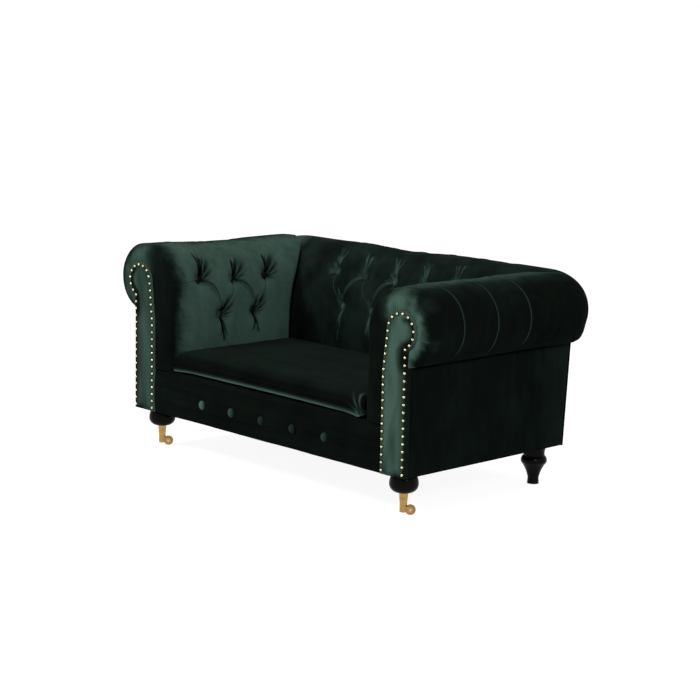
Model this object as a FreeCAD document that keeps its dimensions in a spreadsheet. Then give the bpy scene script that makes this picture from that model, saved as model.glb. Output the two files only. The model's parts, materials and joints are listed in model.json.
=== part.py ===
"""A small two-seat sofa with rolled arms, deep-buttoned padding and castors on its front feet.

Millimetres. +X is to the right seen from the front, +Y to the back, +Z up. The origin lies on the floor
under the middle of the overall box. Left pieces mirror the right ones, apart from the castors, which
both trail the same way.
"""
import FreeCAD
import Part
import Sketcher

import math
import os
import re

V = FreeCAD.Vector
UP = V(0, 0, 1)
DOC = FreeCAD.newDocument("Sofa")
SIZES = DOC.addObject("Spreadsheet::Sheet", "Sizes")

# Driving dimensions
DRIVING = {
    # Whole sofa
    "sofa_height": 470,
    "overall_depth": 564,
    "body_width": 880,
    "body_bottom": 88.5,
    "seat_gap": 0.3,
    # Rolled padding of arms and back, measured from its inside face
    "pad_depth": 116,
    "roll_radius": 78,
    "roll_setback": 14,
    "inside_radius": 108,
    "inside_rise": 140,
    "top_sag": 8,
    "pad_thickness": 58,
    "corner_radius": 45,
    "front_rounding": 26,
    "ring_setback": 2,
    # Buttoning
    "arm_lower_drop": 161,
    "arm_upper_drop": 70,
    "arm_button_pitch": 100,
    "arm_first_button": 92,
    "arm_lower_shift": 12,
    "back_lower_drop": 138,
    "back_upper_drop": 52,
    "back_button_pitch": 94,
    "arm_button_count": 3,
    "back_button_count": 5,
    "button_sink": 18,
    "button_reach": 34,
    "button_lift": 4,
    "fold_depth": 10,
    "seat_fold_depth": 6,
    "roll_fold_depth": 3,
    "fold_reach": 24,
    "crease_fade": 60,
    "button_radius": 11.5,
    "button_rise": 4.5,
    # Front facings and their nails
    "facing_width": 72,
    "facing_thickness": 12,
    "facing_edge": 3,
    "scroll_radius": 42,
    "scroll_setback": 20,
    "scroll_drop": 82,
    "scroll_neck": 170,
    "nail_inset": 6.5,
    "nail_radius": 3.7,
    "nail_height": 4,
    "nail_pitch": 16,
    "nail_end": 9,
    # Frame timbers and boards
    "board_thickness": 18,
    "roll_rail_clearance": 2,
    "rail_thickness": 25,
    "rail_height": 60,
    "tack_rail_width": 20,
    "tack_rail_height": 30,
    "tack_rail_lift": 6,
    "liner_thickness": 4,
    "panel_thickness": 4,
    "back_lean": 13,
    "back_overhang": 55,
    "rear_post_width": 34,
    "rear_post_rise": 16.3,
    "rear_post_offset": 5.5,
    "corner_block_leg": 80,
    "corner_block_height": 40,
    "centre_rail_drop": 10,
    # Seat
    "dust_cover_thickness": 1.5,
    "webbing_width": 50,
    "webbing_thickness": 2,
    "webbing_end": 12,
    "lengthwise_webbing_count": 5,
    "crosswise_webbing_count": 3,
    "seat_deck_height": 190,
    "front_pad_thickness": 8,
    "front_pad_bulge": 3,
    "front_pad_lip": 3,
    "front_pad_rounding": 7,
    "front_button_count": 5,
    "front_button_pitch": 100,
    "front_button_height": 132,
    "front_dimple_radius": 30,
    "front_dimple_depth": 6,
    "cushion_thickness": 58,
    "cushion_front_inset": 6,
    "cushion_side_gap": 0.7,
    "cushion_corner": 34,
    "cushion_draw_in": 5,
    # Feet
    "front_foot_side_inset": 45,
    "front_foot_front_inset": 46,
    "rear_foot_side_inset": 51,
    "rear_foot_back_inset": 38,
    "bun_radius": 30.5,
    "bun_top_radius": 23,
    "bun_widest": 66,
    "bun_neck": 48,
    "bun_neck_radius": 10.5,
    "bun_side_radius": 18,
    "bun_shoulder_radius": 36,
    "rear_collar_radius": 31,
    "rear_neck_radius": 23.5,
    "rear_neck_height": 63,
    "rear_bulb_radius": 28,
    "rear_bulb_height": 48,
    "rear_bulb_rounding": 14,
    "rear_ankle_sweep": 84,
    "rear_collar_sweep": 31,
    "rear_ankle_radius": 12,
    "rear_ankle_height": 13,
    "rear_sole_radius": 13,
    "bolt_radius": 4,
    "bolt_length": 44,
    "bolt_sink": 20,
    "bolt_clearance": 0.15,
    # Castors
    "castor_angle": 45,
    "cup_bottom": 22,
    "cup_top_radius": 9.8,
    "cup_bottom_radius": 7.6,
    "cup_wall": 0.9,
    "cup_floor": 1.6,
    "pivot_radius": 1.75,
    "pivot_head_radius": 3,
    "pivot_head_height": 1.2,
    "barrel_radius": 7.7,
    "barrel_bottom": 6.5,
    "castor_trail": 14.5,
    "castor_wheel_radius": 11,
    "castor_wheel_width": 5,
    "castor_wheel_crown": 0.6,
    "wheel_side_gap": 0.3,
    "wheel_slot_gap": 0.4,
    "cheek_thickness": 2,
    "cheek_radius": 6.5,
    "axle_radius": 1.5,
    "axle_head_radius": 2.4,
    "axle_head_height": 0.7,
    "running_clearance": 0.05,
}

# Places worked out from the driving dimensions, in words that the formulas below share
DERIVED = {
    "front_plane": "nail_height - overall_depth / 2",
    "facing_back": "front_plane + facing_thickness",
    "board_front": "facing_back + seat_gap",
    "board_back": "board_front + board_thickness",
    "rail_front": "board_back + seat_gap",
    "side_plane": "body_width / 2",
    "roll_axis_x": "side_plane - roll_setback",
    "roll_axis_y": "overall_depth / 2 - roll_radius",
    "arm_inside": "roll_axis_x - pad_depth",
    "back_inside": "roll_axis_y - pad_depth",
    "cavity_inside": "pad_thickness - seat_gap",
    "back_top_plane": "overall_depth / 2 - back_overhang",
    "back_plane": "back_top_plane - back_lean",
    "panel_inside": "side_plane - panel_thickness",
    "frame_side": "panel_inside - seat_gap",
    "frame_back": "back_plane - panel_thickness - seat_gap",
    "frame_bottom": "body_bottom + dust_cover_thickness + seat_gap",
    "rail_top": "frame_bottom + rail_height",
    "side_rail_inside": "frame_side - rail_thickness",
    "rear_rail_front": "frame_back - rail_thickness",
    "front_rail_back": "rail_front + rail_thickness",
    "crease_depth": "roll_setback + seat_gap",
    "crease_height": "sofa_height - roll_radius - sqrt(roll_radius ^ 2 - crease_depth ^ 2)",
    "panel_top": "crease_height - seat_gap",
    "facing_inside": "side_plane - facing_width",
    "scroll_x": "side_plane - scroll_setback",
    "scroll_z": "sofa_height - scroll_drop",
    "neck_start": "sofa_height - scroll_neck",
    "scroll_u": "scroll_x - arm_inside",
    "deck_edge": "arm_inside + pad_thickness",
    "pad_bottom": "seat_deck_height + seat_gap",
    "tack_rail_bottom": "seat_deck_height + tack_rail_lift",
    "liner_out": "pad_thickness + liner_thickness",
    "liner_top": "neck_start",
    "rear_post_inside": "roll_axis_x - corner_radius + rear_post_offset",
    "rear_post_front": "roll_axis_y - corner_radius + rear_post_offset",
    "rail_core": "scroll_radius - roll_rail_clearance",
    "deck_bottom": "rail_top + 2 * webbing_thickness + 3 * seat_gap",
    "front_foot_x": "side_plane - front_foot_side_inset",
    "front_foot_y": "front_plane + front_foot_front_inset",
    "rear_foot_x": "side_plane - rear_foot_side_inset",
    "rear_foot_y": "back_plane - rear_foot_back_inset",
    "foot_top": "body_bottom - seat_gap",
    "cushion_bottom": "seat_deck_height + seat_gap",
    "front_pad_face": "board_front - seat_gap - front_pad_thickness",
    "border_top": "seat_deck_height - front_pad_lip - seat_gap",
}
FUNCTIONS = {"sqrt"}
WORD = re.compile(r"[a-z][a-z_]+")
PIECES = []


def expression(text):
    """Spell a formula in plain words as one on the sheet's cells."""
    def spelled(match):
        word = match.group()
        if word in FUNCTIONS:
            return word
        if word in DERIVED:
            return "(" + expression(DERIVED[word]) + ")"
        return "Sizes." + word
    return WORD.sub(spelled, text)


def size(text):
    """The present value of a formula in plain words."""
    return float(SIZES.evalExpression(expression(text)))


def keep(piece):
    """Count an object among the pieces that are written out."""
    PIECES.append(piece)
    return piece


def box(label, across, deep, high):
    """A straight timber or board between two places on each axis."""
    timber = DOC.addObject("Part::Box", label)
    for side, axis, span in (("Length", "x", across), ("Width", "y", deep), ("Height", "z", high)):
        low, top = span
        timber.setExpression(side, expression(f"({top}) - ({low})"))
        timber.setExpression("Placement.Base." + axis, expression(low))
    return timber


def round_bar(label, radius, length, place, axis=UP):
    """A cylinder that starts at a place and runs along an axis."""
    bar = DOC.addObject("Part::Cylinder", label)
    bar.Placement = FreeCAD.Placement(V(), FreeCAD.Rotation(UP, axis))
    bar.setExpression("Radius", expression(radius))
    bar.setExpression("Height", expression(length))
    for letter, where in zip("xyz", place):
        bar.setExpression("Placement.Base." + letter, expression(where))
    return bar


def without(label, base, *tools):
    """A piece with other shapes cut out of it."""
    for number, tool in enumerate(tools, start=1):
        last = number == len(tools)
        cut = DOC.addObject("Part::Cut", label if last else f"{label}_cut_{number}")
        cut.Base = base
        cut.Tool = tool
        base = cut
    return base


def group(label, members):
    """Separate solids that share one node."""
    bundle = DOC.addObject("Part::Compound", label)
    bundle.Links = members
    return bundle


def mirrored(label, source):
    """The same piece on the other side of the sofa."""
    twin = DOC.addObject("Part::Mirroring", label)
    twin.Source = source
    twin.Normal = V(1, 0, 0)
    return twin


def pair(name, source):
    """Keep a right-hand piece and its left-hand mirror image."""
    keep(source)
    keep(mirrored("left_" + name, source))


def made(label, shape):
    """A piece whose shape comes from loops and lofts."""
    piece = DOC.addObject("Part::Feature", label)
    piece.Shape = shape
    return piece


def arc_edge(start, end, radius, side):
    """A sketch arc between two points, with its centre to the left (1) or right (-1) of the way."""
    chord = end - start
    middle = (start + end) / 2
    across = V(-chord.y, chord.x, 0).normalize() * side
    centre = middle + across * math.sqrt(max(radius ** 2 - (chord.Length / 2) ** 2, 0))
    first = math.atan2(start.y - centre.y, start.x - centre.x)
    last = math.atan2(end.y - centre.y, end.x - centre.x)
    circle = Part.Circle(centre, UP, radius)
    if side > 0:
        return Part.ArcOfCircle(circle, first, last), 1, 2
    return Part.ArcOfCircle(circle, last, first), 2, 1


def outline(sketch, corners, arcs):
    """A closed outline whose corners, given in words, and arc radii are bound to the sheet.

    arcs maps the number of a side to (radius in words, side of its centre); other sides are straight.
    """
    points = [V(size(across), size(up), 0) for across, up in corners]
    ends = []
    for number, start in enumerate(points):
        end = points[(number + 1) % len(points)]
        if number in arcs:
            radius, side = arcs[number]
            curve, first, last = arc_edge(start, end, size(radius), side)
        else:
            curve, first, last = Part.LineSegment(start, end), 1, 2
        ends.append((sketch.addGeometry(curve, False), first, last))
    for number, (edge, first, last) in enumerate(ends):
        before, _, before_last = ends[number - 1]
        sketch.addConstraint(Sketcher.Constraint("Coincident", before, before_last, edge, first))
        for kind, name, axis, text in (("DistanceX", "across", -2, corners[number][0]),
                                       ("DistanceY", "up", -1, corners[number][1])):
            if text == "0":
                sketch.addConstraint(Sketcher.Constraint("PointOnObject", edge, first, axis))
                continue
            index = sketch.addConstraint(Sketcher.Constraint(kind, -1, 1, edge, first, size(text)))
            sketch.renameConstraint(index, f"{name}_{number}")
            sketch.setExpression(f"Constraints.{name}_{number}", expression(text))
    for number, (radius, _) in arcs.items():
        index = sketch.addConstraint(Sketcher.Constraint("Radius", ends[number][0], size(radius)))
        sketch.renameConstraint(index, f"radius_{number}")
        sketch.setExpression(f"Constraints.radius_{number}", expression(radius))


def body_on(label, plane_role, corners, arcs):
    """A body with one outline sketched on one of its own origin planes."""
    body = DOC.addObject("PartDesign::Body", label)
    sketch = body.newObject("Sketcher::SketchObject", label + "_outline")
    plane = next(feature for feature in body.Origin.OriginFeatures if feature.Role == plane_role)
    sketch.AttachmentSupport = [(plane, "")]
    sketch.MapMode = "FlatFace"
    outline(sketch, corners, arcs)
    return body, sketch


def padded_board(label, plane_role, corners, arcs, length, place):
    """An outline drawn out to a thickness, set at a place."""
    body, sketch = body_on(label, plane_role, corners, arcs)
    pad = body.newObject("PartDesign::Pad", label + "_pad")
    pad.Profile = sketch
    pad.setExpression("Length", expression(length))
    for letter, where in zip("xyz", place):
        body.setExpression("Placement.Base." + letter, expression(where))
    DOC.recompute()
    return body


def turned(label, corners, arcs, x, y):
    """A profile turned about an upright axis at (x, y)."""
    body, sketch = body_on(label, "XZ_Plane", corners, arcs)
    lathe = body.newObject("PartDesign::Revolution", label + "_turning")
    lathe.Profile = sketch
    lathe.ReferenceAxis = (sketch, ["V_Axis"])
    lathe.Angle = 360
    body.setExpression("Placement.Base.x", expression(x))
    body.setExpression("Placement.Base.y", expression(y))
    DOC.recompute()
    return body


# Frame
def seat_frame(bolts):
    """Seat rails, centre rail and corner blocks, bored for the bolts of the feet."""
    high = ("frame_bottom", "rail_top")
    front = box("front_rail_timber", ("-frame_side", "frame_side"), ("rail_front", "front_rail_back"), high)
    keep(without("front_seat_rail", front, bolts["front_right"], bolts["front_left"]))
    keep(box("rear_seat_rail", ("-frame_side", "frame_side"), ("rear_rail_front", "frame_back"), high))
    between = ("front_rail_back + seat_gap", "rear_rail_front - seat_gap")
    pair("seat_rail", box("right_seat_rail", ("side_rail_inside", "frame_side"), between, high))
    keep(box("seat_centre_rail", ("-rail_thickness / 2", "rail_thickness / 2"), between,
             ("frame_bottom", "rail_top - centre_rail_drop")))
    inside = "side_rail_inside - seat_gap"
    leg = "side_rail_inside - seat_gap - corner_block_leg"
    depths = {"front": ("front_rail_back + seat_gap", "front_rail_back + seat_gap + corner_block_leg"),
              "rear": ("rear_rail_front - seat_gap", "rear_rail_front - seat_gap - corner_block_leg")}
    blocks = []
    for end, (wall, tip) in depths.items():
        block = padded_board(f"{end}_corner_block", "XY_Plane",
                             [(inside, wall), (leg, wall), (inside, tip)], {},
                             "corner_block_height", ("0", "0", "frame_bottom"))
        if end == "rear":
            block = without("bored_corner_block", block, bolts["rear_right"])
        blocks += [block, mirrored(f"{end}_corner_block_left", block)]
    keep(group("corner_blocks", blocks))


def scroll_outline(outer):
    """The outline of a front facing: a straight pillar with a scroll at its head."""
    neck = f"scroll_z - sqrt(scroll_radius ^ 2 - ({outer} - scroll_x) ^ 2)"
    return [("facing_inside", "body_bottom"), (outer, "body_bottom"), (outer, neck),
            ("scroll_x", "scroll_z + scroll_radius"), ("scroll_x - scroll_radius", "scroll_z"),
            ("facing_inside", "neck_start")]


SCROLL_ARCS = {2: ("scroll_radius", 1), 3: ("scroll_radius", 1)}


def uprights():
    """Arm posts, rear posts, the rails that carry the rolls, tack rails and liner boards."""
    pair("arm_post", padded_board("right_arm_post", "XZ_Plane", scroll_outline("frame_side"), SCROLL_ARCS,
                                  "board_thickness", ("0", "board_back", "0")))
    post_side = "rear_post_inside + rear_post_width"
    pair("rear_post", box("right_rear_post", ("rear_post_inside", post_side),
                          ("rear_post_front", "rear_post_front + rear_post_width"),
                          ("rail_top + seat_gap", "scroll_z + rear_post_rise")))
    pair("arm_top_rail", round_bar("right_arm_top_rail", "rail_core",
                                   "rear_post_front - seat_gap - rail_front",
                                   ("scroll_x", "rail_front", "scroll_z"), V(0, 1, 0)))
    roll_half = "scroll_x - rail_core - seat_gap"
    keep(round_bar("back_top_rail", "rail_core", f"2 * ({roll_half})",
                   (f"-({roll_half})", "back_inside + scroll_u", "scroll_z"), V(1, 0, 0)))
    back_half = "rear_post_inside - seat_gap"
    tack_high = ("tack_rail_bottom", "tack_rail_bottom + tack_rail_height")
    tack_front = "back_inside + liner_out + seat_gap"
    arm_tack = "arm_inside + liner_out + seat_gap"
    pair("arm_tack_rail", box("right_arm_tack_rail", (arm_tack, f"{arm_tack} + tack_rail_width"),
                              ("rail_front", f"{tack_front} - seat_gap"), tack_high))
    keep(box("back_tack_rail", (f"-({back_half})", back_half),
             (tack_front, f"{tack_front} + tack_rail_width"), tack_high))
    liner_high = ("tack_rail_bottom", "liner_top")
    liner_side = "arm_inside + liner_out"
    pair("arm_liner", box("right_arm_liner", ("deck_edge", liner_side),
                          ("rail_front", "back_inside + pad_thickness - seat_gap"), liner_high))
    keep(box("back_liner", (f"-({liner_side})", liner_side),
             ("back_inside + pad_thickness", "back_inside + liner_out"), liner_high))


# Seat suspension
def strips(count, span, width):
    """Middles of a counted number of even strips over a span given as two numbers."""
    low, top = span
    whole = int(size(count))
    step = (top - low - width) / (whole - 1)
    return [low + width / 2 + number * step for number in range(whole)]


def seat_suspension():
    """Two layers of webbing on the seat rails, the padded deck above them and the front border board."""
    width = size("webbing_width")
    thick = size("webbing_thickness")
    end = size("webbing_end")
    low = size("rail_top + seat_gap")
    front = size("rail_front") + end
    back = size("frame_back") - end
    side = size("frame_side") - end
    deck = size("deck_edge")
    bands = [Part.makeBox(width, back - front, thick, V(middle - width / 2, front, low))
             for middle in strips("lengthwise_webbing_count", (-deck + width, deck - width), width)]
    keep(made("seat_webbing_lengthwise", Part.makeCompound(bands)))
    level = low + thick + size("seat_gap")
    reach = (size("front_rail_back") + width, size("back_inside"))
    bands = [Part.makeBox(2 * side, width, thick, V(-side, middle - width / 2, level))
             for middle in strips("crosswise_webbing_count", reach, width)]
    keep(made("seat_webbing_crosswise", Part.makeCompound(bands)))
    edge = "deck_edge - seat_gap"
    keep(box("seat_deck_pad", (f"-({edge})", edge), ("rail_front", "back_inside + pad_thickness - seat_gap"),
             ("deck_bottom", "seat_deck_height")))
    half = "facing_inside - seat_gap"
    keep(box("front_border_board", (f"-({half})", half), ("board_front", "board_back"),
             ("frame_bottom", "border_top")))


# Deep-buttoned padding, with the number of sections between buttons, over the roll and round the corners
FOLD_STEPS = 3
SEAT_STEPS = 3
ROLL_STEPS = 8
GRID_STEPS = 6
CORNER_STEPS = 4
ROUNDING_STEPS = 4


def fold_rows(count, pitch):
    """Places of the upper buttons, centred on 0, and of the lower ones between them."""
    upper = [(number - (count - 1) / 2) * pitch for number in range(count)]
    lower = [place + pitch / 2 for place in upper[:-1]]
    return upper, lower


def to_segment(point, start, end):
    """Distance from a point to a straight fold between two points."""
    along = end - start
    share = max(0, min(1, (point - start).dot(along) / along.dot(along)))
    return (point - start - along * share).Length


class RolledPad:
    """The cross-section of the padding: up the inside face, over the roll and back to the crease.

    u is measured outwards from the inside face, and s is the way along the section from the seat. The
    padding runs from start to end along the arm or the back.
    """

    def __init__(self, name, start, end):
        self.start = start
        self.end = end
        self.bottom = size("pad_bottom")
        self.roof = size("sofa_height")
        self.inside_radius = size("inside_radius")
        self.rise = size("inside_rise")
        self.mean_radius = (self.inside_radius + self.rise) / 2
        self.roll_radius = size("roll_radius")
        self.depth = size("pad_depth")
        self.crease_angle = -math.acos(size("crease_depth") / self.roll_radius)
        self.upright = self.roof - self.rise - self.bottom
        self.top_start = self.upright + self.mean_radius * math.pi / 2
        self.top_end = self.top_start + self.depth - self.inside_radius
        self.length = self.top_end + self.roll_radius * (math.pi / 2 - self.crease_angle)
        self.lower = self.way_to(self.roof - size(f"{name}_lower_drop"))
        self.upper = self.way_to(self.roof - size(f"{name}_upper_drop"))
        self.pitch = size(f"{name}_button_pitch")
        self.top_sag = size("top_sag")
        self.step = self.pitch / GRID_STEPS
        self.button_sink = size("button_sink")
        self.button_reach = size("button_reach")
        self.fold_depth = size("fold_depth")
        self.seat_fold_depth = size("seat_fold_depth")
        self.roll_fold_depth = size("roll_fold_depth")
        self.fold_reach = size("fold_reach")
        self.crease_fade = size("crease_fade")
        step = (self.upper - self.lower) / FOLD_STEPS
        below = [self.lower * number / SEAT_STEPS for number in range(SEAT_STEPS)]
        middle = [self.lower + step * number for number in range(FOLD_STEPS + 2)]
        roll = [middle[-1] + (self.length - middle[-1]) * number / ROLL_STEPS
                for number in range(1, ROLL_STEPS + 1)]
        self.stations = below + middle + roll

    def way_to(self, height):
        """The way s along the section to a height on its inside face."""
        climb = height - (self.roof - self.rise)
        if climb <= 0:
            return height - self.bottom
        return self.upright + self.mean_radius * math.asin(climb / self.rise)

    def at(self, s):
        """Place (u, z) on the section and the way out of the padding there."""
        if s <= self.upright:
            return V(0, 0, self.bottom + s), V(-1, 0, 0)
        if s <= self.top_start:
            angle = math.pi - (s - self.upright) / self.mean_radius
            centre = V(self.inside_radius, 0, self.roof - self.rise)
            across, up = self.inside_radius, self.rise
        elif s <= self.top_end:
            return V(self.inside_radius + s - self.top_start, 0, self.roof), V(0, 0, 1)
        else:
            angle = math.pi / 2 - (s - self.top_end) / self.roll_radius
            centre = V(self.depth, 0, self.roof - self.roll_radius)
            across = up = self.roll_radius
        place = centre + V(across * math.cos(angle), 0, up * math.sin(angle))
        return place, V(math.cos(angle) / across, 0, math.sin(angle) / up).normalize()

    def sink(self, s, along, upper, lower):
        """How deep the buttons and folds pull the face in, at a place along the sofa."""
        here = V(along, s, 0)
        folds = [(V(place, self.upper, 0), V(place, self.length, 0), self.roll_fold_depth) for place in upper]
        folds += [(V(place, self.lower, 0), V(place, 0, 0), self.seat_fold_depth) for place in lower]
        folds += [(V(high, self.upper, 0), V(low, self.lower, 0), self.fold_depth)
                  for high in upper for low in lower if abs(high - low) < self.pitch]
        depths = [deep * max(0, 1 - to_segment(here, start, end) / self.fold_reach) ** 2
                  for start, end, deep in folds]
        buttons = [V(place, self.upper, 0) for place in upper] + [V(place, self.lower, 0) for place in lower]
        depths += [self.button_sink * max(0, 1 - (here - button).Length / self.button_reach) ** 2
                   for button in buttons]
        return max(depths)

    def face_point(self, s, along, upper, lower, inset):
        """A point (u, z) of the padded face, pulled in by folds and rounding and sagging between ends."""
        place, out = self.at(s)
        near_crease = min(1, (self.length - s) / self.crease_fade)
        place = place - out * (self.sink(s, along, upper, lower) + inset) * near_crease
        share = (along - self.start) / (self.end - self.start)
        sag = self.top_sag * max(0, 1 - (2 * share - 1) ** 2)
        return place - UP * sag * near_crease * ((place.z - self.bottom) / (self.roof - self.bottom)) ** 2


def section_wire(pad, along, upper, lower, inset, place):
    """One closed section of the padding round the frame's scroll, set in space by place(u, z)."""
    gap = size("seat_gap")
    scroll = V(size("scroll_u"), 0, size("scroll_z"))
    radius = size("scroll_radius") + gap
    edges = []
    last = None
    for start, end in zip(pad.stations, pad.stations[1:]):
        middle = (start + end) / 2
        points = [pad.face_point(s, along, upper, lower, inset) for s in (start, middle, end)]
        first, half, last = [place(point.x, point.z) for point in points]
        if start < pad.upright:
            edges.append(Part.makeLine(first, last))
        else:
            edges.append(Part.Arc(first, half, last).toShape())
    crease = pad.depth + size("crease_depth")
    neck = scroll.z - math.sqrt(radius ** 2 - (crease - scroll.x) ** 2)
    turn = math.atan2(neck - scroll.z, crease - scroll.x)
    head = [V(crease, 0, neck)]
    for angle in ((turn + math.pi / 2) / 2, math.pi / 2, 3 * math.pi / 4, math.pi):
        head.append(scroll + V(math.cos(angle), 0, math.sin(angle)) * radius)
    inner = [place(point.x, point.z) for point in head]
    edges.append(Part.makeLine(last, inner[0]))
    edges.append(Part.Arc(*inner[:3]).toShape())
    edges.append(Part.Arc(*inner[2:]).toShape())
    inside = size("cavity_inside")
    shoulder = place(inside, size("neck_start"))
    foot = place(inside, pad.bottom)
    edges.append(Part.makeLine(inner[-1], shoulder))
    edges.append(Part.makeLine(shoulder, foot))
    edges.append(Part.makeLine(foot, edges[0].Vertexes[0].Point))
    return Part.Wire(edges)


def round_corner(pad, u, share):
    """Way along and across a run for a point of the section, a share of the way round the back corner.

    The inside of the padding meets in a mitre, and the outside sweeps round with the corner radius.
    """
    start = -pad.step
    pivot = size("pad_depth - corner_radius")
    if u <= pivot:
        return start + share * (u - start), u
    straight = pivot - start
    travelled = share * (straight + (u - pivot) * math.pi / 4)
    if travelled <= straight:
        return start + travelled, u
    angle = (travelled - straight) / (u - pivot)
    return pivot + (u - pivot) * math.sin(angle), pivot + (u - pivot) * math.cos(angle)


def grid(low, top, first, step):
    """Places of the sections between two ends, in step with the buttons."""
    count_down = int((first - low) / step)
    count_up = int((top - first) / step)
    return [first + number * step for number in range(-count_down, count_up + 1)]


def arm_pad(pad):
    """The right arm's padding, from its rounded front end to the mitre in the back corner."""
    inside = size("arm_inside")
    corner = pad.end
    rounding = size("front_rounding")
    front = pad.start - rounding
    first = front + size("arm_first_button - ring_setback")
    upper = [first + number * pad.pitch for number in range(int(size("arm_button_count")))]
    lower = [place + pad.pitch / 2 + size("arm_lower_shift") for place in upper[:-1]]
    wires = []
    for number in range(ROUNDING_STEPS + 1):
        angle = math.pi / 2 * number / ROUNDING_STEPS
        along = front + rounding * (1 - math.cos(angle))
        inset = rounding * (1 - math.sin(angle))
        wires.append(section_wire(pad, along, upper, lower, inset,
                                  lambda u, z, along=along: V(inside + u, along, z)))
    bend = corner - pad.step
    margin = pad.step / 2
    for along in grid(pad.start + margin, bend - margin, first, pad.step):
        wires.append(section_wire(pad, along, upper, lower, 0,
                                  lambda u, z, along=along: V(inside + u, along, z)))
    for number in range(CORNER_STEPS + 1):
        share = number / CORNER_STEPS

        def place(u, z, share=share):
            along, across = round_corner(pad, u, share)
            return V(inside + across, corner + along, z)
        wires.append(section_wire(pad, bend + share * pad.step, upper, lower, 0, place))
    return Part.makeLoft(wires, True, True), upper, lower


def back_pad(pad):
    """The back's padding, from mitre to mitre."""
    inside = size("back_inside")
    corner = pad.end
    upper, lower = fold_rows(int(size("back_button_count")), pad.pitch)
    bend = corner - pad.step
    margin = pad.step / 2

    def corner_wire(share, side):
        def place(u, z):
            along, across = round_corner(pad, u, share)
            return V(side * (corner + along), inside + across, z)
        return section_wire(pad, side * (bend + share * pad.step), upper, lower, 0, place)

    shares = [number / CORNER_STEPS for number in range(CORNER_STEPS + 1)]
    wires = [corner_wire(share, -1) for share in reversed(shares)]
    for along in grid(-bend + margin, bend - margin, upper[0], pad.step):
        wires.append(section_wire(pad, along, upper, lower, 0,
                                  lambda u, z, along=along: V(along, inside + u, z)))
    wires += [corner_wire(share, 1) for share in shares]
    return Part.makeLoft(wires, True, True), upper, lower


def button_cap():
    """A covered button: a shallow dome on its flat back, facing up."""
    radius = size("button_radius")
    rise = size("button_rise")
    ball = (radius ** 2 + rise ** 2) / (2 * rise)
    profile = Part.Wire([Part.makeLine(V(), V(radius, 0, 0)),
                         Part.Arc(V(radius, 0, 0),
                                  V(ball * math.sin(math.asin(radius / ball) / 2), 0,
                                    rise - ball + ball * math.cos(math.asin(radius / ball) / 2)),
                                  V(0, 0, rise)).toShape(),
                         Part.makeLine(V(0, 0, rise), V())])
    return Part.Face(profile).revolve(V(), UP, 360)


def tuft_buttons(pad, upper, lower, turn, move):
    """One button at the bottom of each tuft, square to the face of the padding."""
    buttons = []
    for row, places in ((pad.upper, upper), (pad.lower, lower)):
        for along in places:
            _, out = pad.at(row)
            seat = pad.face_point(row, along, upper, lower, 0) + out * size("button_lift")
            button = button_cap()
            button.Placement = FreeCAD.Placement(seat, FreeCAD.Rotation(UP, out))
            button.Placement = FreeCAD.Placement(move(along), turn).multiply(button.Placement)
            buttons.append(button)
    return Part.makeCompound(buttons)


def upholstery():
    """The buttoned padding of both arms and the back, with its buttons."""
    pad = RolledPad("arm", size("front_plane + ring_setback + front_rounding"),
                    size("back_inside - seat_gap / 2"))
    shape, upper, lower = arm_pad(pad)
    right = made("right_arm_pad", shape)
    pair("arm_pad", right)
    inside = size("arm_inside")
    no_turn = FreeCAD.Rotation()
    buttons = made("right_arm_buttons",
                   tuft_buttons(pad, upper, lower, no_turn, lambda along: V(inside, along, 0)))
    pair("arm_buttons", buttons)
    half = size("arm_inside - seat_gap / 2")
    pad = RolledPad("back", -half, half)
    shape, upper, lower = back_pad(pad)
    keep(made("back_pad", shape))
    inside = size("back_inside")
    quarter = FreeCAD.Rotation(UP, 90)
    keep(made("back_buttons", tuft_buttons(pad, upper, lower, quarter, lambda along: V(along, inside, 0))))


# Covers
def covers():
    """Outside panels, dust cover, front facings and their nails."""
    low = ("facing_back + seat_gap", "body_bottom")
    rear_low = "back_plane - panel_thickness - seat_gap"
    rear_top = "back_top_plane - panel_thickness - seat_gap"
    pair("outside_panel", padded_board(
        "right_outside_panel", "YZ_Plane",
        [low, (rear_low, "body_bottom"), (rear_top, "panel_top"), (low[0], "panel_top")], {},
        "panel_thickness", ("panel_inside", "0", "0")))
    keep(padded_board(
        "outside_back_panel", "YZ_Plane",
        [("back_plane - panel_thickness", "body_bottom"), ("back_plane", "body_bottom"),
         ("back_top_plane", "panel_top"), ("back_top_plane - panel_thickness", "panel_top")], {},
        "body_width", ("-side_plane", "0", "0")))
    facing = padded_board("right_facing", "XZ_Plane", scroll_outline("side_plane"), SCROLL_ARCS,
                          "facing_thickness", ("0", "facing_back", "0"))
    soften_front(facing)
    pair("facing", facing)
    pair("facing_nails", made("right_facing_nails", Part.makeCompound(nails())))


def soften_front(body):
    """Round the edge of a facing's front over its padding."""
    pad = body.Tip
    front = min(vertex.Point.y for vertex in pad.Shape.Vertexes)
    tiny = 1e-6
    names = [f"Edge{number}" for number, edge in enumerate(pad.Shape.Edges, start=1)
             if all(abs(vertex.Point.y - front) < tiny for vertex in edge.Vertexes)]
    fillet = body.newObject("PartDesign::Fillet", body.Label + "_edge")
    fillet.Base = (pad, names)
    fillet.setExpression("Radius", expression("facing_edge"))
    DOC.recompute()


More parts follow.
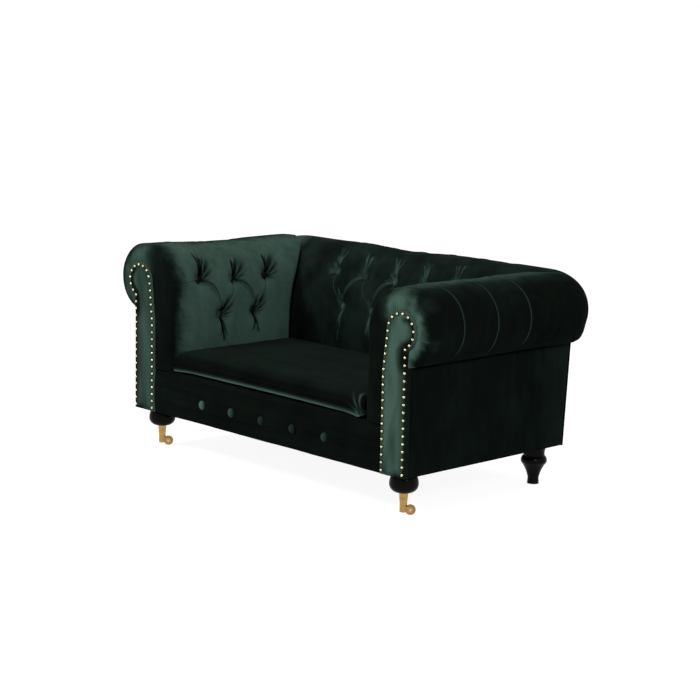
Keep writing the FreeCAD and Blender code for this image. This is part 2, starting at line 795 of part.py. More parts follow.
def nail_line():
    """The line of nails inside a facing's edge: up its outer side, round the scroll and down again."""
    inset = size("nail_inset")
    outer = size("side_plane") - inset
    inner = size("facing_inside") + inset
    radius = size("scroll_radius") - inset
    centre = V(size("scroll_x"), 0, size("scroll_z"))
    bottom = size("body_bottom + nail_end")
    neck = centre.z - math.sqrt(radius ** 2 - (outer - centre.x) ** 2)
    turn = math.atan2(neck - centre.z, outer - centre.x)
    rim = [centre + V(math.cos(angle), 0, math.sin(angle)) * radius
           for angle in (turn, (turn + math.pi / 2) / 2, math.pi / 2, 3 * math.pi / 4, math.pi)]
    shoulder = V(inner, 0, size("neck_start"))
    return Part.Wire([Part.makeLine(V(outer, 0, bottom), rim[0]),
                      Part.Arc(*rim[:3]).toShape(), Part.Arc(*rim[2:]).toShape(),
                      Part.makeLine(rim[-1], shoulder), Part.makeLine(shoulder, V(inner, 0, bottom))])


NAIL_SIDES = 8
NAIL_RINGS = (0, 0.6, 0.94)


def nails():
    """Domed nail heads along the line, an even pitch apart."""
    line = nail_line()
    count = round(line.Length / size("nail_pitch")) + 1
    radius = size("nail_radius")
    height = size("nail_height")
    front = size("front_plane")
    rings = []
    for share in NAIL_RINGS:
        reach = radius * math.sqrt(1 - share ** 2)
        corners = [V(reach * math.cos(turn), -height * share, reach * math.sin(turn))
                   for turn in (2 * math.pi * number / NAIL_SIDES for number in range(NAIL_SIDES + 1))]
        rings.append(Part.makePolygon(corners))
    dome = Part.makeLoft(rings, True, True)
    heads = []
    for point in line.discretize(Number=count):
        head = dome.copy()
        head.translate(V(point.x, front, point.z))
        heads.append(head)
    return heads


def dust_cover(bolts):
    """Thin cloth under the frame, with holes for the bolts of the feet."""
    half = "frame_side - seat_gap"
    cloth = box("dust_cloth", (f"-({half})", half), ("rail_front", "frame_back"),
                ("body_bottom", "body_bottom + dust_cover_thickness"))
    keep(without("dust_cover", cloth, *bolts.values()))


def front_rail():
    """Padding over the front border board, dished for its row of buttons."""
    half = "facing_inside - seat_gap"
    face = "front_pad_face"
    back = "facing_back"
    top = "seat_deck_height"
    lip = "seat_deck_height - front_pad_lip"
    rise = f"({top} - front_pad_rounding - body_bottom)"
    bow = f"({rise} ^ 2 / 4 + front_pad_bulge ^ 2) / (2 * front_pad_bulge)"
    body = padded_board(
        "front_rail_padding", "YZ_Plane",
        [(back, "body_bottom"), (back, lip), ("board_back", lip), ("board_back", top),
         (f"{face} + front_pad_rounding", top), (face, f"{top} - front_pad_rounding"), (face, "body_bottom")],
        {4: ("front_pad_rounding", 1), 5: (bow, 1)},
        f"2 * ({half})", (f"-({half})", "0", "0"))
    count = int(size("front_button_count"))
    pitch = size("front_button_pitch")
    radius = size("front_dimple_radius")
    front = size(f"{face} - front_pad_bulge")
    centre_y = front - radius + size("front_dimple_depth")
    places = [V((number - (count - 1) / 2) * pitch, centre_y, size("front_button_height"))
              for number in range(count)]
    dishes = made("front_dishes", Part.makeCompound([Part.makeSphere(radius, place) for place in places]))
    keep(without("front_rail_pad", body, dishes))
    rim = math.sqrt(radius ** 2 - size("button_radius") ** 2)
    buttons = []
    for place in places:
        button = button_cap()
        seat = place + V(0, rim - size("seat_gap"), 0)
        button.Placement = FreeCAD.Placement(seat, FreeCAD.Rotation(UP, V(0, -1, 0)))
        buttons.append(button)
    keep(made("front_rail_buttons", Part.makeCompound(buttons)))


# Loose cushion
CUSHION_SECTIONS = ((0, 16), (0.08, 5), (0.22, 0), (0.42, 0), (0.62, 4), (0.76, 14), (0.87, 34), (0.95, 68),
                    (1, 112))


def cushion_wire(height, inset, draw):
    """A level section: sides drawn in between rounded corners."""
    half = size("arm_inside - cushion_side_gap") - inset
    front = size("front_plane + cushion_front_inset") + inset
    back = size("back_inside - cushion_side_gap") - inset
    corner = size("cushion_corner")
    chop = corner * (1 - math.sqrt(0.5))
    ring = []
    for x, y, turn_x, turn_y in ((half, front, -1, 1), (half, back, -1, -1),
                                 (-half, back, 1, -1), (-half, front, 1, 1)):
        one = V(x + turn_x * corner, y, height)
        other = V(x, y + turn_y * corner, height)
        middle = V(x + turn_x * chop, y + turn_y * chop, height)
        ring.append((other, middle, one) if turn_x * turn_y > 0 else (one, middle, other))
    pulls = (V(-draw, 0, 0), V(0, -draw, 0), V(draw, 0, 0), V(0, draw, 0))
    edges = []
    for number, arc in enumerate(ring):
        following = ring[(number + 1) % len(ring)]
        edges.append(Part.Arc(*arc).toShape())
        start, end = arc[2], following[0]
        edges.append(Part.Arc(start, (start + end) / 2 + pulls[number], end).toShape())
    return Part.Wire(edges)


def seat_cushion():
    """A crowned cushion whose sides are drawn in between its corners."""
    bottom = size("cushion_bottom")
    thick = size("cushion_thickness")
    draw = size("cushion_draw_in")
    wires = [cushion_wire(bottom + share * thick, inset, draw) for share, inset in CUSHION_SECTIONS]
    keep(made("seat_cushion", Part.makeLoft(wires, True, True)))


# Feet and castors
FOOT_PLACES = {"front_right": ("front_foot_x", "front_foot_y"),
               "front_left": ("-front_foot_x", "front_foot_y"),
               "rear_right": ("rear_foot_x", "rear_foot_y"),
               "rear_left": ("-rear_foot_x", "rear_foot_y")}


def bolt_bores():
    """Clearance bores for the hanger bolts, one at each foot."""
    return {name: round_bar(name + "_bore", "bolt_radius + bolt_clearance", "bolt_length + seat_gap",
                            (x, y, "foot_top - bolt_sink - seat_gap / 2"))
            for name, (x, y) in FOOT_PLACES.items()}


def feet(bores):
    """Bun feet with a peg for the castor cup, turned rear feet, and the hanger bolts."""
    peg_top = "cup_top_radius - cup_wall - seat_gap"
    peg_low = "cup_bottom_radius - cup_wall - seat_gap"
    peg_end = "cup_bottom + cup_floor + pivot_head_height + 2 * seat_gap"
    bun = [("0", "foot_top"), ("0", peg_end), (peg_low, peg_end), (peg_top, "bun_neck"),
           ("bun_neck_radius", "bun_neck"), ("bun_radius", "bun_widest"), ("bun_top_radius", "foot_top")]
    bun_arcs = {4: ("bun_side_radius", 1), 5: ("bun_shoulder_radius", 1)}
    rear = [("0", "foot_top"), ("0", "0"), ("rear_sole_radius", "0"),
            ("rear_ankle_radius", "rear_ankle_height"), ("rear_bulb_radius", "rear_bulb_height"),
            ("rear_neck_radius", "rear_neck_height"), ("rear_collar_radius", "foot_top")]
    rear_arcs = {3: ("rear_ankle_sweep", -1), 4: ("rear_bulb_rounding", 1), 5: ("rear_collar_sweep", -1)}
    for side in ("left", "right"):
        x, y = FOOT_PLACES["front_" + side]
        foot = turned(f"{side}_bun", bun, bun_arcs, x, y)
        keep(without(f"{side}_front_foot", foot, bores["front_" + side]))
        x, y = FOOT_PLACES["rear_" + side]
        foot = turned(f"{side}_rear_turning", rear, rear_arcs, x, y)
        keep(without(f"{side}_rear_foot", foot, bores["rear_" + side]))
    bolts = [round_bar(name + "_bolt", "bolt_radius", "bolt_length", (x, y, "foot_top - bolt_sink"))
             for name, (x, y) in FOOT_PLACES.items()]
    keep(group("foot_bolts", bolts))


def castor(side):
    """A castor under a front foot: a fixed cup and pivot, a horn that swivels and a wheel that rolls."""
    x, y = FOOT_PLACES["front_" + side]
    hole = "pivot_radius + running_clearance"
    cup = [(hole, "cup_bottom"), ("cup_bottom_radius", "cup_bottom"),
           ("cup_top_radius", "bun_neck - seat_gap"), ("cup_top_radius - cup_wall", "bun_neck - seat_gap"),
           ("cup_bottom_radius - cup_wall", "cup_bottom + cup_floor"), (hole, "cup_bottom + cup_floor")]
    keep(turned(f"{side}_castor_cup", cup, {}, x, y))
    under = "barrel_bottom - seat_gap"
    over = "cup_bottom + cup_floor"
    pivot = [("0", f"{under} - pivot_head_height"), ("pivot_head_radius", f"{under} - pivot_head_height"),
             ("pivot_head_radius", under), ("pivot_radius", under), ("pivot_radius", over),
             ("pivot_head_radius", over), ("pivot_head_radius", f"{over} + pivot_head_height"),
             ("0", f"{over} + pivot_head_height")]
    keep(turned(f"{side}_castor_pivot", pivot, {}, x, y))
    place = FreeCAD.Placement(V(size(x), size(y), 0), FreeCAD.Rotation(UP, size("castor_angle")))
    for name, shape in (("horn", castor_horn()), ("axle", castor_axle()), ("wheel", castor_wheel())):
        piece = keep(made(f"{side}_castor_{name}", shape))
        piece.Placement = place


def castor_horn():
    """The barrel that swivels on the pivot, with two cheeks that carry the axle; it trails along +X."""
    trail = size("castor_trail")
    level = size("castor_wheel_radius")
    bottom = size("barrel_bottom")
    top = size("cup_bottom - seat_gap")
    slot = size("castor_wheel_width + 2 * wheel_side_gap")
    width = slot + 2 * size("cheek_thickness")
    rounding = size("cheek_radius")
    sideways = V(0, 1, 0)
    barrel = Part.makeCylinder(size("barrel_radius"), top - bottom, V(0, 0, bottom))
    arm = Part.makeBox(trail, width, 2 * rounding, V(0, -width / 2, level - rounding))
    end = Part.makeCylinder(rounding, width, V(trail, -width / 2, level), sideways)
    floor_cut = Part.makeBox(4 * trail, 2 * width, bottom, V(-trail, -width, 0))
    solid = barrel.fuse([arm.cut(floor_cut), end]).removeSplitter()
    wheel_room = Part.makeCylinder(level + size("wheel_slot_gap"), slot, V(trail, -slot / 2, level), sideways)
    bore = Part.makeCylinder(size("pivot_radius + running_clearance"), top, V(0, 0, 0))
    axle_hole = Part.makeCylinder(size("axle_radius + running_clearance"), width,
                                  V(trail, -width / 2, level), sideways)
    return solid.cut([wheel_room, bore, axle_hole])


def castor_axle():
    """A riveted axle through both cheeks."""
    trail = size("castor_trail")
    level = size("castor_wheel_radius")
    width = size("castor_wheel_width + 2 * wheel_side_gap + 2 * cheek_thickness")
    head = size("axle_head_height")
    sideways = V(0, 1, 0)
    pin = Part.makeCylinder(size("axle_radius"), width, V(trail, -width / 2, level), sideways)
    heads = [Part.makeCylinder(size("axle_head_radius"), head, V(trail, start, level), sideways)
             for start in (-width / 2 - head, width / 2)]
    return pin.fuse(heads).removeSplitter()


def castor_wheel():
    """A solid wheel with a slightly crowned rim, bored to run on the axle."""
    radius = size("castor_wheel_radius")
    half = size("castor_wheel_width") / 2
    crown = size("castor_wheel_crown")
    bore = size("axle_radius + running_clearance")
    trail = size("castor_trail")
    rim = trail + radius - crown
    profile = Part.Wire([Part.makeLine(V(trail + bore, -half, radius), V(rim, -half, radius)),
                         Part.Arc(V(rim, -half, radius), V(rim + crown, 0, radius),
                                  V(rim, half, radius)).toShape(),
                         Part.makeLine(V(rim, half, radius), V(trail + bore, half, radius)),
                         Part.makeLine(V(trail + bore, half, radius), V(trail + bore, -half, radius))])
    return Part.Face(profile).revolve(V(trail, 0, radius), V(0, 1, 0), 360)


def fill_sheet():
    """Put each driving dimension in its own cell, named by its alias."""
    for row, (alias, number) in enumerate(DRIVING.items(), start=1):
        SIZES.set(f"A{row}", alias)
        SIZES.set(f"B{row}", str(number))
        SIZES.setAlias(f"B{row}", alias)
    DOC.recompute()


def write_pieces():
    """Check every object, then write each piece to a file of its own name."""
    DOC.recompute()
    for thing in DOC.Objects:
        if "Invalid" in thing.State or "Error" in thing.State:
            raise RuntimeError(f"{thing.Label} failed: {thing.State}")
    for piece in PIECES:
        if piece.Shape.isNull() or not piece.Shape.isValid() or not piece.Shape.Solids:
            raise RuntimeError(f"{piece.Label} has no sound shape")
    os.makedirs("parts", exist_ok=True)
    for piece in PIECES:
        piece.Shape.exportStep(f"parts/{piece.Label}.step")
    print(len(PIECES), "pieces written")


fill_sheet()
bores_for_bolts = bolt_bores()
seat_frame(bores_for_bolts)
uprights()
seat_suspension()
upholstery()
covers()
dust_cover(bores_for_bolts)
front_rail()
seat_cushion()
feet(bores_for_bolts)
castor("left")
castor("right")
write_pieces()
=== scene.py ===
"""Looks of a small tufted sofa in dark green velvet, in metres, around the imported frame.

+X is to the right seen from the front, +Y to the back, +Z up. Arms and back share one padded section,
measured as u outwards from its inside face and s along it from the seat over the roll to the crease.
t runs along an arm to the back, or along the back to the right.
"""
import json
import math

import bmesh
import bpy
import numpy as np
from mathutils import Matrix, Vector


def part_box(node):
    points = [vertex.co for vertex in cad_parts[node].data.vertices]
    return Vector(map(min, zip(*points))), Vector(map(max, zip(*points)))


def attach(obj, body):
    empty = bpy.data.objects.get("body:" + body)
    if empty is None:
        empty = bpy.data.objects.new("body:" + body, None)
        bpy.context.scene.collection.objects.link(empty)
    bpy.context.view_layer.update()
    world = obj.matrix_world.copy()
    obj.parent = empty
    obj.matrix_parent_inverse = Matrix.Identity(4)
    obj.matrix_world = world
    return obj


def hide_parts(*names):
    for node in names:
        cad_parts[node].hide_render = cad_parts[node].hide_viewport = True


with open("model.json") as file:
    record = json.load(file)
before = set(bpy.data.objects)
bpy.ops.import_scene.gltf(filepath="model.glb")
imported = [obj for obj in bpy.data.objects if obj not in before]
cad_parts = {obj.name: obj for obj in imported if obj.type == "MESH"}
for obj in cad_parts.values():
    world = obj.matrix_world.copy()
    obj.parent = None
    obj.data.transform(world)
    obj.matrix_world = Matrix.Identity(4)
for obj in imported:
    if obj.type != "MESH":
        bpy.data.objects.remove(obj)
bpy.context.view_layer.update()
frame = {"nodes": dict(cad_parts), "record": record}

SIDES = {"left": -1, "right": 1}
FRONT = Vector((0, -1, 0))

# Camera, from the perspective of the photograph
CAMERA_AZIMUTH = 46.31
CAMERA_ELEVATION = 11.01
CAMERA_ROLL = 1.229
CAMERA_TARGET = (0, -0.032, 0.22)
CAMERA_DISTANCE = 4.309
CAMERA_LENS = 99.3
CAMERA_SENSOR = 36
CAMERA_SHIFT = (0.0096, 0.0253)

# Padded section
ROLL_RADIUS = 0.078
PAD_DEPTH = 0.116
ARM_REACH = 0.080
ARM_RISE = 0.100
BACK_REACH = 0.108
BACK_RISE = 0.180
BACK_LEAN = 0.003
LEAN_ENDS = (0.31, 0.45)
CREASE_DEPTH = 0.0143
CORNER_RADIUS = 0.045
MITRE_STEP = 0.0167
MITRE_GAP = 0.00015
CAVITY = 0.0577
CAVITY_SLACK = 0.0003
BUTTON_SINK = 0.014

# Facing outline
SCROLL_RADIUS = 0.042
SCROLL_DROP = 0.082
SCROLL_SETBACK = 0.020
NECK_DROP = 0.170

# Mesh fineness
FACE_STEP = 0.0012
ROLL_STEP = 0.0025
LENGTH_STEP = 0.0013
FRONT_STATIONS = 18
CORNER_STATIONS = 14
CAVITY_POINTS = 18

arm_low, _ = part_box("right_arm_pad")
back_low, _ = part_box("back_pad")
facing_low, facing_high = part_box("right_facing")
panel_low, panel_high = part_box("right_outside_panel")
ARM_INSIDE = arm_low.x
BACK_INSIDE = back_low.y
PAD_BOTTOM = arm_low.z
RING_FRONT = arm_low.y
ROOF = 0.470
SIDE_PLANE = panel_high.x
FACING_FRONT = facing_low.y
FACING_BACK = facing_high.y
FACING_INSIDE = facing_low.x
BODY_BOTTOM = facing_low.z
SCROLL_X = SIDE_PLANE - SCROLL_SETBACK
SCROLL_Z = ROOF - SCROLL_DROP
NECK_Z = ROOF - NECK_DROP
NECK_SLOPE = (SCROLL_X - SCROLL_RADIUS - FACING_INSIDE) / (SCROLL_Z - NECK_Z)


# Helpers for numbers and meshes
def smooth_step(low, high, value):
    """0 below low, 1 above high, and a smooth rise between them."""
    share = np.clip((np.asarray(value, float) - low) / (high - low), 0, 1)
    return share * share * (3 - 2 * share)


def bell(away, width, power=2):
    """1 where away is 0, falling to nothing over a width."""
    return np.exp(-(away / width) ** power)


def rolled_edge(edge, roll):
    """How far a rolled edge drops, by the distance in from it."""
    return roll * (1 - np.sqrt(np.clip(1 - ((roll - np.clip(edge, 0, roll)) / roll) ** 2, 0, 1)))


def grid_points(x, y, z):
    """Points from coordinates that are arrays or numbers, spread to one shape."""
    return np.stack(np.broadcast_arrays(x, y, z), axis=-1)


def flat_grid(low, high, counts):
    """Coordinates x and y of an even grid over a box."""
    x = np.linspace(low.x, high.x, counts[0])
    y = np.linspace(low.y, high.y, counts[1])
    return np.meshgrid(x, y, indexing="ij")


def nearest(points, others):
    """How far each flat point is from the nearest of some others."""
    away = np.hypot(points[..., None, 0] - others[:, 0], points[..., None, 1] - others[:, 1])
    return away.min(axis=-1)


def shape_object(name, points, faces, sharp=60):
    """A mesh object with smooth faces, sharp only at edges over an angle in degrees."""
    mesh = bpy.data.meshes.new(name)
    mesh.from_pydata([tuple(point) for point in points], [], faces)
    mesh.validate()
    work = bmesh.new()
    work.from_mesh(mesh)
    bmesh.ops.recalc_face_normals(work, faces=work.faces)
    work.to_mesh(mesh)
    work.free()
    mesh.shade_smooth()
    mesh.set_sharp_from_angle(angle=math.radians(sharp))
    made = bpy.data.objects.new(name, mesh)
    bpy.context.scene.collection.objects.link(made)
    return made


def tube(name, loops, sharp=60):
    """A closed form through loops of points (loop, point, xyz), capped at both ends."""
    count, around, _ = loops.shape
    faces = []
    for loop in range(count - 1):
        for point in range(around):
            after = (point + 1) % around
            faces.append((loop * around + point, loop * around + after,
                          (loop + 1) * around + after, (loop + 1) * around + point))
    faces.append(tuple(range(around)))
    faces.append(tuple((count - 1) * around + point for point in reversed(range(around))))
    return shape_object(name, loops.reshape(-1, 3), faces, sharp)


def slab(name, front, back, sharp):
    """A closed form between two grids of points."""
    return tube(name, np.concatenate([front, back[:, ::-1]], axis=1), sharp)


def paint_velvet(made, nap_sheen_and_shade, fold=0.0):
    """Keep the painted sheen and shade of the pile, and the painted shading of creases, at each point of a
    mesh for its velvet.
    """
    for name, values in (("nap_sheen_and_shade", nap_sheen_and_shade), ("fold", np.broadcast_to(fold, nap_sheen_and_shade.shape))):
        attribute = made.data.attributes.new(name, "FLOAT", "POINT")
        attribute.data.foreach_set("value", np.clip(values, 0, 1).astype(np.float32).ravel())


def points_of(made):
    """The points of a mesh as an array."""
    flat = np.zeros(len(made.data.vertices) * 3)
    made.data.vertices.foreach_get("co", flat)
    return flat.reshape(-1, 3)


def islands(node):
    """The middle of each separate solid of a CAD node."""
    work = bmesh.new()
    work.from_mesh(frame["nodes"][node].data)
    bmesh.ops.remove_doubles(work, verts=work.verts, dist=1e-6)
    left = set(work.verts)
    middles = []
    while left:
        seed = left.pop()
        found = [seed]
        for vert in found:
            for edge in vert.link_edges:
                other = edge.other_vert(vert)
                if other in left:
                    left.remove(other)
                    found.append(other)
        low = Vector([min(vert.co[axis] for vert in found) for axis in range(3)])
        high = Vector([max(vert.co[axis] for vert in found) for axis in range(3)])
        middles.append((low + high) / 2)
    work.free()
    return sorted(middles, key=lambda middle: tuple(round(value, 4) for value in middle))


NOISE_OCTAVES = (0.6, 1.0, 1.7, 2.6)
WAVES_PER_OCTAVE = 3


def fabric_noise(points, scale, seed):
    """Smooth noise of about -1 to 1 at each point, from waves in random ways."""
    pick = np.random.default_rng(seed)
    flat = points.reshape(-1, 3)
    total = np.zeros(len(flat))
    for octave in NOISE_OCTAVES:
        for _ in range(WAVES_PER_OCTAVE):
            way = pick.normal(size=3)
            way *= 6.28 * scale * octave / np.linalg.norm(way) / 3
            total += np.sin(flat @ way + 6.28 * pick.random()) / octave ** 0.8
    return (total / 4).reshape(points.shape[:-1])


def finish_piece(made, body, material, node):
    """Give a piece its finish and its body, and hide the CAD node that it stands for."""
    made.data.materials.append(material)
    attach(made, body)
    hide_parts(node)


# Materials
class Shading:
    """The node tree of a material or world, with short ways to add joined nodes."""

    def __init__(self, tree):
        self.nodes = tree.nodes
        self.links = tree.links

    def feed(self, value, socket):
        """Give a socket a number, a colour or the value of another socket."""
        if isinstance(value, (int, float, tuple)):
            socket.default_value = value
        else:
            self.links.new(value, socket)

    def attribute(self, name):
        """A number painted on the mesh."""
        node = self.nodes.new("ShaderNodeAttribute")
        node.attribute_name = name
        return node.outputs["Fac"]

    def noise(self, scale, detail, stretch=(1, 1, 1)):
        """Noise in the sofa's own coordinates."""
        place = self.nodes.new("ShaderNodeTexCoord")
        mapping = self.nodes.new("ShaderNodeMapping")
        mapping.inputs["Scale"].default_value = stretch
        self.links.new(place.outputs["Object"], mapping.inputs["Vector"])
        texture = self.nodes.new("ShaderNodeTexNoise")
        texture.inputs["Scale"].default_value = scale
        texture.inputs["Detail"].default_value = detail
        self.links.new(mapping.outputs["Vector"], texture.inputs["Vector"])
        return texture.outputs["Fac"]

    def math(self, operation, first, second, clamp=False):
        """A sum, difference or product of two values, each a number or a socket."""
        node = self.nodes.new("ShaderNodeMath")
        node.operation = operation
        node.use_clamp = clamp
        self.feed(first, node.inputs[0])
        self.feed(second, node.inputs[1])
        return node.outputs["Value"]

    def mix(self, share, first, second):
        """A colour between two others by a share."""
        node = self.nodes.new("ShaderNodeMix")
        node.data_type = "RGBA"
        self.links.new(share, node.inputs["Factor"])
        for name, value in (("A", first), ("B", second)):
            self.feed(value, next(each for each in node.inputs if each.name == name and each.type == "RGBA"))
        return next(each for each in node.outputs if each.type == "RGBA")

    def bump(self, shader, height, strength, distance):
        """Fine relief from a height."""
        bump = self.nodes.new("ShaderNodeBump")
        bump.inputs["Strength"].default_value = strength
        bump.inputs["Distance"].default_value = distance
        self.links.new(height, bump.inputs["Height"])
        self.links.new(bump.outputs["Normal"], shader.inputs["Normal"])

    def background_rays(self):
        """1 for rays that show the background: from the camera, in a reflection or through glass."""
        paths = self.nodes.new("ShaderNodeLightPath").outputs
        mirrored = self.math("ADD", paths["Is Glossy Ray"], paths["Is Transmission Ray"])
        return self.math("ADD", paths["Is Camera Ray"], mirrored, True)


def new_material(name):
    """A material with its node tree and its shader."""
    material = bpy.data.materials.new(name)
    material.use_nodes = True
    return material, Shading(material.node_tree), material.node_tree.nodes["Principled BSDF"]


# The velvet's colour runs from VELVET_DARK, its pile in painted shade, to VELVET_LIGHT, its pile with painted
# sheen.
VELVET_DARK = (0.0022, 0.0028, 0.0023, 1)
VELVET_LIGHT = (0.060, 0.113, 0.090, 1)
VELVET_SHEEN = (0.42, 0.62, 0.54, 1)
PATCH_SCALE = 11
STREAK_SCALE = 55
PILE_SCALE = 1400
# Creases turn the painted sheen about, towards CREASE_LIGHT less CREASE_TURN times it: shade on light pile,
# sheen on dark pile.
CREASE_LIGHT = 0.8
CREASE_TURN = 1.7


def velvet(name, streak):
    """Velvet coloured from dark to light by the sheen and shade painted on the mesh for the pile lying
    different ways, with streaks along the pile.

    In a crease, light pile takes painted shade and dark pile takes painted sheen.
    """
    material, tree, shader = new_material(name)
    nap_sheen_and_shade = tree.attribute("nap_sheen_and_shade")
    fold = tree.attribute("fold")
    patches = tree.math("MULTIPLY", tree.noise(PATCH_SCALE, 3), 0.5)
    streaks = tree.math("MULTIPLY", tree.noise(STREAK_SCALE, 4, streak), 0.5)
    spread = tree.math("ADD", patches, streaks)
    lively = tree.math("MULTIPLY", nap_sheen_and_shade, tree.math("ADD", spread, 0.5))
    uneven = tree.math("MULTIPLY", tree.math("SUBTRACT", spread, 0.45), 0.09)
    lively = tree.math("ADD", lively, uneven)
    # Painted shading of creases and hollows, from the fold attribute.
    turned = tree.math("SUBTRACT", CREASE_LIGHT, tree.math("MULTIPLY", nap_sheen_and_shade, CREASE_TURN), True)
    away = tree.math("SUBTRACT", turned, lively)
    lively = tree.math("ADD", lively, tree.math("MULTIPLY", away, fold), True)
    tree.links.new(tree.mix(lively, VELVET_DARK, VELVET_LIGHT), shader.inputs["Base Color"])
    shader.inputs["Roughness"].default_value = 0.85
    shader.inputs["Specular IOR Level"].default_value = 0.004
    shader.inputs["Sheen Weight"].default_value = 0.01
    shader.inputs["Sheen Roughness"].default_value = 0.3
    shader.inputs["Sheen Tint"].default_value = VELVET_SHEEN
    tree.bump(shader, tree.noise(PILE_SCALE, 2), 0.25, 0.0006)
    return material


def metal(name, dull, bright, roughness, scale):
    """Metal with a patina in patches and fine scratches."""
    material, tree, shader = new_material(name)
    patina = tree.noise(scale, 4)
    tree.links.new(tree.mix(patina, dull, bright), shader.inputs["Base Color"])
    shader.inputs["Metallic"].default_value = 1
    rough = tree.math("ADD", roughness, tree.math("MULTIPLY", patina, 0.12))
    tree.links.new(rough, shader.inputs["Roughness"])
    tree.bump(shader, tree.noise(scale * 8, 2), 0.08, 0.0003)
    return material


def lacquer(name, dark, pale):
    """Gloss lacquer on turned wood."""
    material, tree, shader = new_material(name)
    rings = tree.noise(60, 3, (1, 1, 8))
    tree.links.new(tree.mix(rings, dark, pale), shader.inputs["Base Color"])
    rough = tree.math("ADD", 0.10, tree.math("MULTIPLY", rings, 0.08))
    tree.links.new(rough, shader.inputs["Roughness"])
    shader.inputs["Specular IOR Level"].default_value = 0.04
    shader.inputs["Coat Weight"].default_value = 0.02
    shader.inputs["Coat Roughness"].default_value = 0.06
    tree.bump(shader, tree.noise(140, 2), 0.06, 0.0008)
    return material


def wood(name, dark, pale, stretch):
    """Sawn timber or board with grain along one way."""
    material, tree, shader = new_material(name)
    grain = tree.noise(30, 6, stretch)
    tree.links.new(tree.mix(grain, dark, pale), shader.inputs["Base Color"])
    shader.inputs["Roughness"].default_value = 0.7
    tree.bump(shader, grain, 0.3, 0.001)
    return material


def woven(name, dark, pale, pitch):
    """Plain woven cloth of crossing threads."""
    material, tree, shader = new_material(name)
    place = tree.nodes.new("ShaderNodeTexCoord")
    checks = tree.nodes.new("ShaderNodeTexChecker")
    checks.inputs["Scale"].default_value = 1 / pitch
    tree.links.new(place.outputs["Object"], checks.inputs["Vector"])
    threads = checks.outputs["Fac"]
    share = tree.math("MULTIPLY", tree.math("ADD", threads, 0.6), tree.noise(90, 4))
    tree.links.new(tree.mix(share, dark, pale), shader.inputs["Base Color"])
    shader.inputs["Roughness"].default_value = 0.95
    shader.inputs["Specular IOR Level"].default_value = 0.1
    tree.bump(shader, threads, 0.3, 0.0004)
    return material


VELVET_ALONG_X = velvet("velvet_along_x", (0.07, 1.6, 1.6))
VELVET_UPRIGHT = velvet("velvet_upright", (1, 1, 0.25))
NAIL_BRASS = metal("nail_brass", (0.44, 0.37, 0.19, 1), (0.76, 0.68, 0.44, 1), 0.16, 60)
CASTOR_BRASS = metal("castor_brass", (0.20, 0.10, 0.03, 1), (0.62, 0.38, 0.14, 1), 0.16, 90)
WHEEL_BRASS = metal("wheel_brass", (0.20, 0.11, 0.04, 1), (0.46, 0.28, 0.11, 1), 0.3, 90)
STEEL = metal("steel", (0.40, 0.40, 0.41, 1), (0.62, 0.62, 0.62, 1), 0.3, 120)
LACQUER = lacquer("black_lacquer", (0.002, 0.002, 0.002, 1), (0.005, 0.004, 0.004, 1))
TIMBER = wood("hardwood", (0.32, 0.20, 0.10, 1), (0.60, 0.43, 0.26, 1), (1, 1, 0.15))
BOARD = wood("board", (0.45, 0.33, 0.20, 1), (0.66, 0.54, 0.38, 1), (0.4, 1, 0.4))
WEBBING = woven("webbing", (0.02, 0.02, 0.02, 1), (0.10, 0.10, 0.09, 1), 0.002)
DECK_CLOTH = woven("deck_cloth", (0.008, 0.013, 0.011, 1), (0.03, 0.045, 0.038, 1), 0.0016)
DUST_CLOTH = woven("dust_cloth", (0.008, 0.008, 0.008, 1), (0.03, 0.03, 0.03, 1), 0.0012)


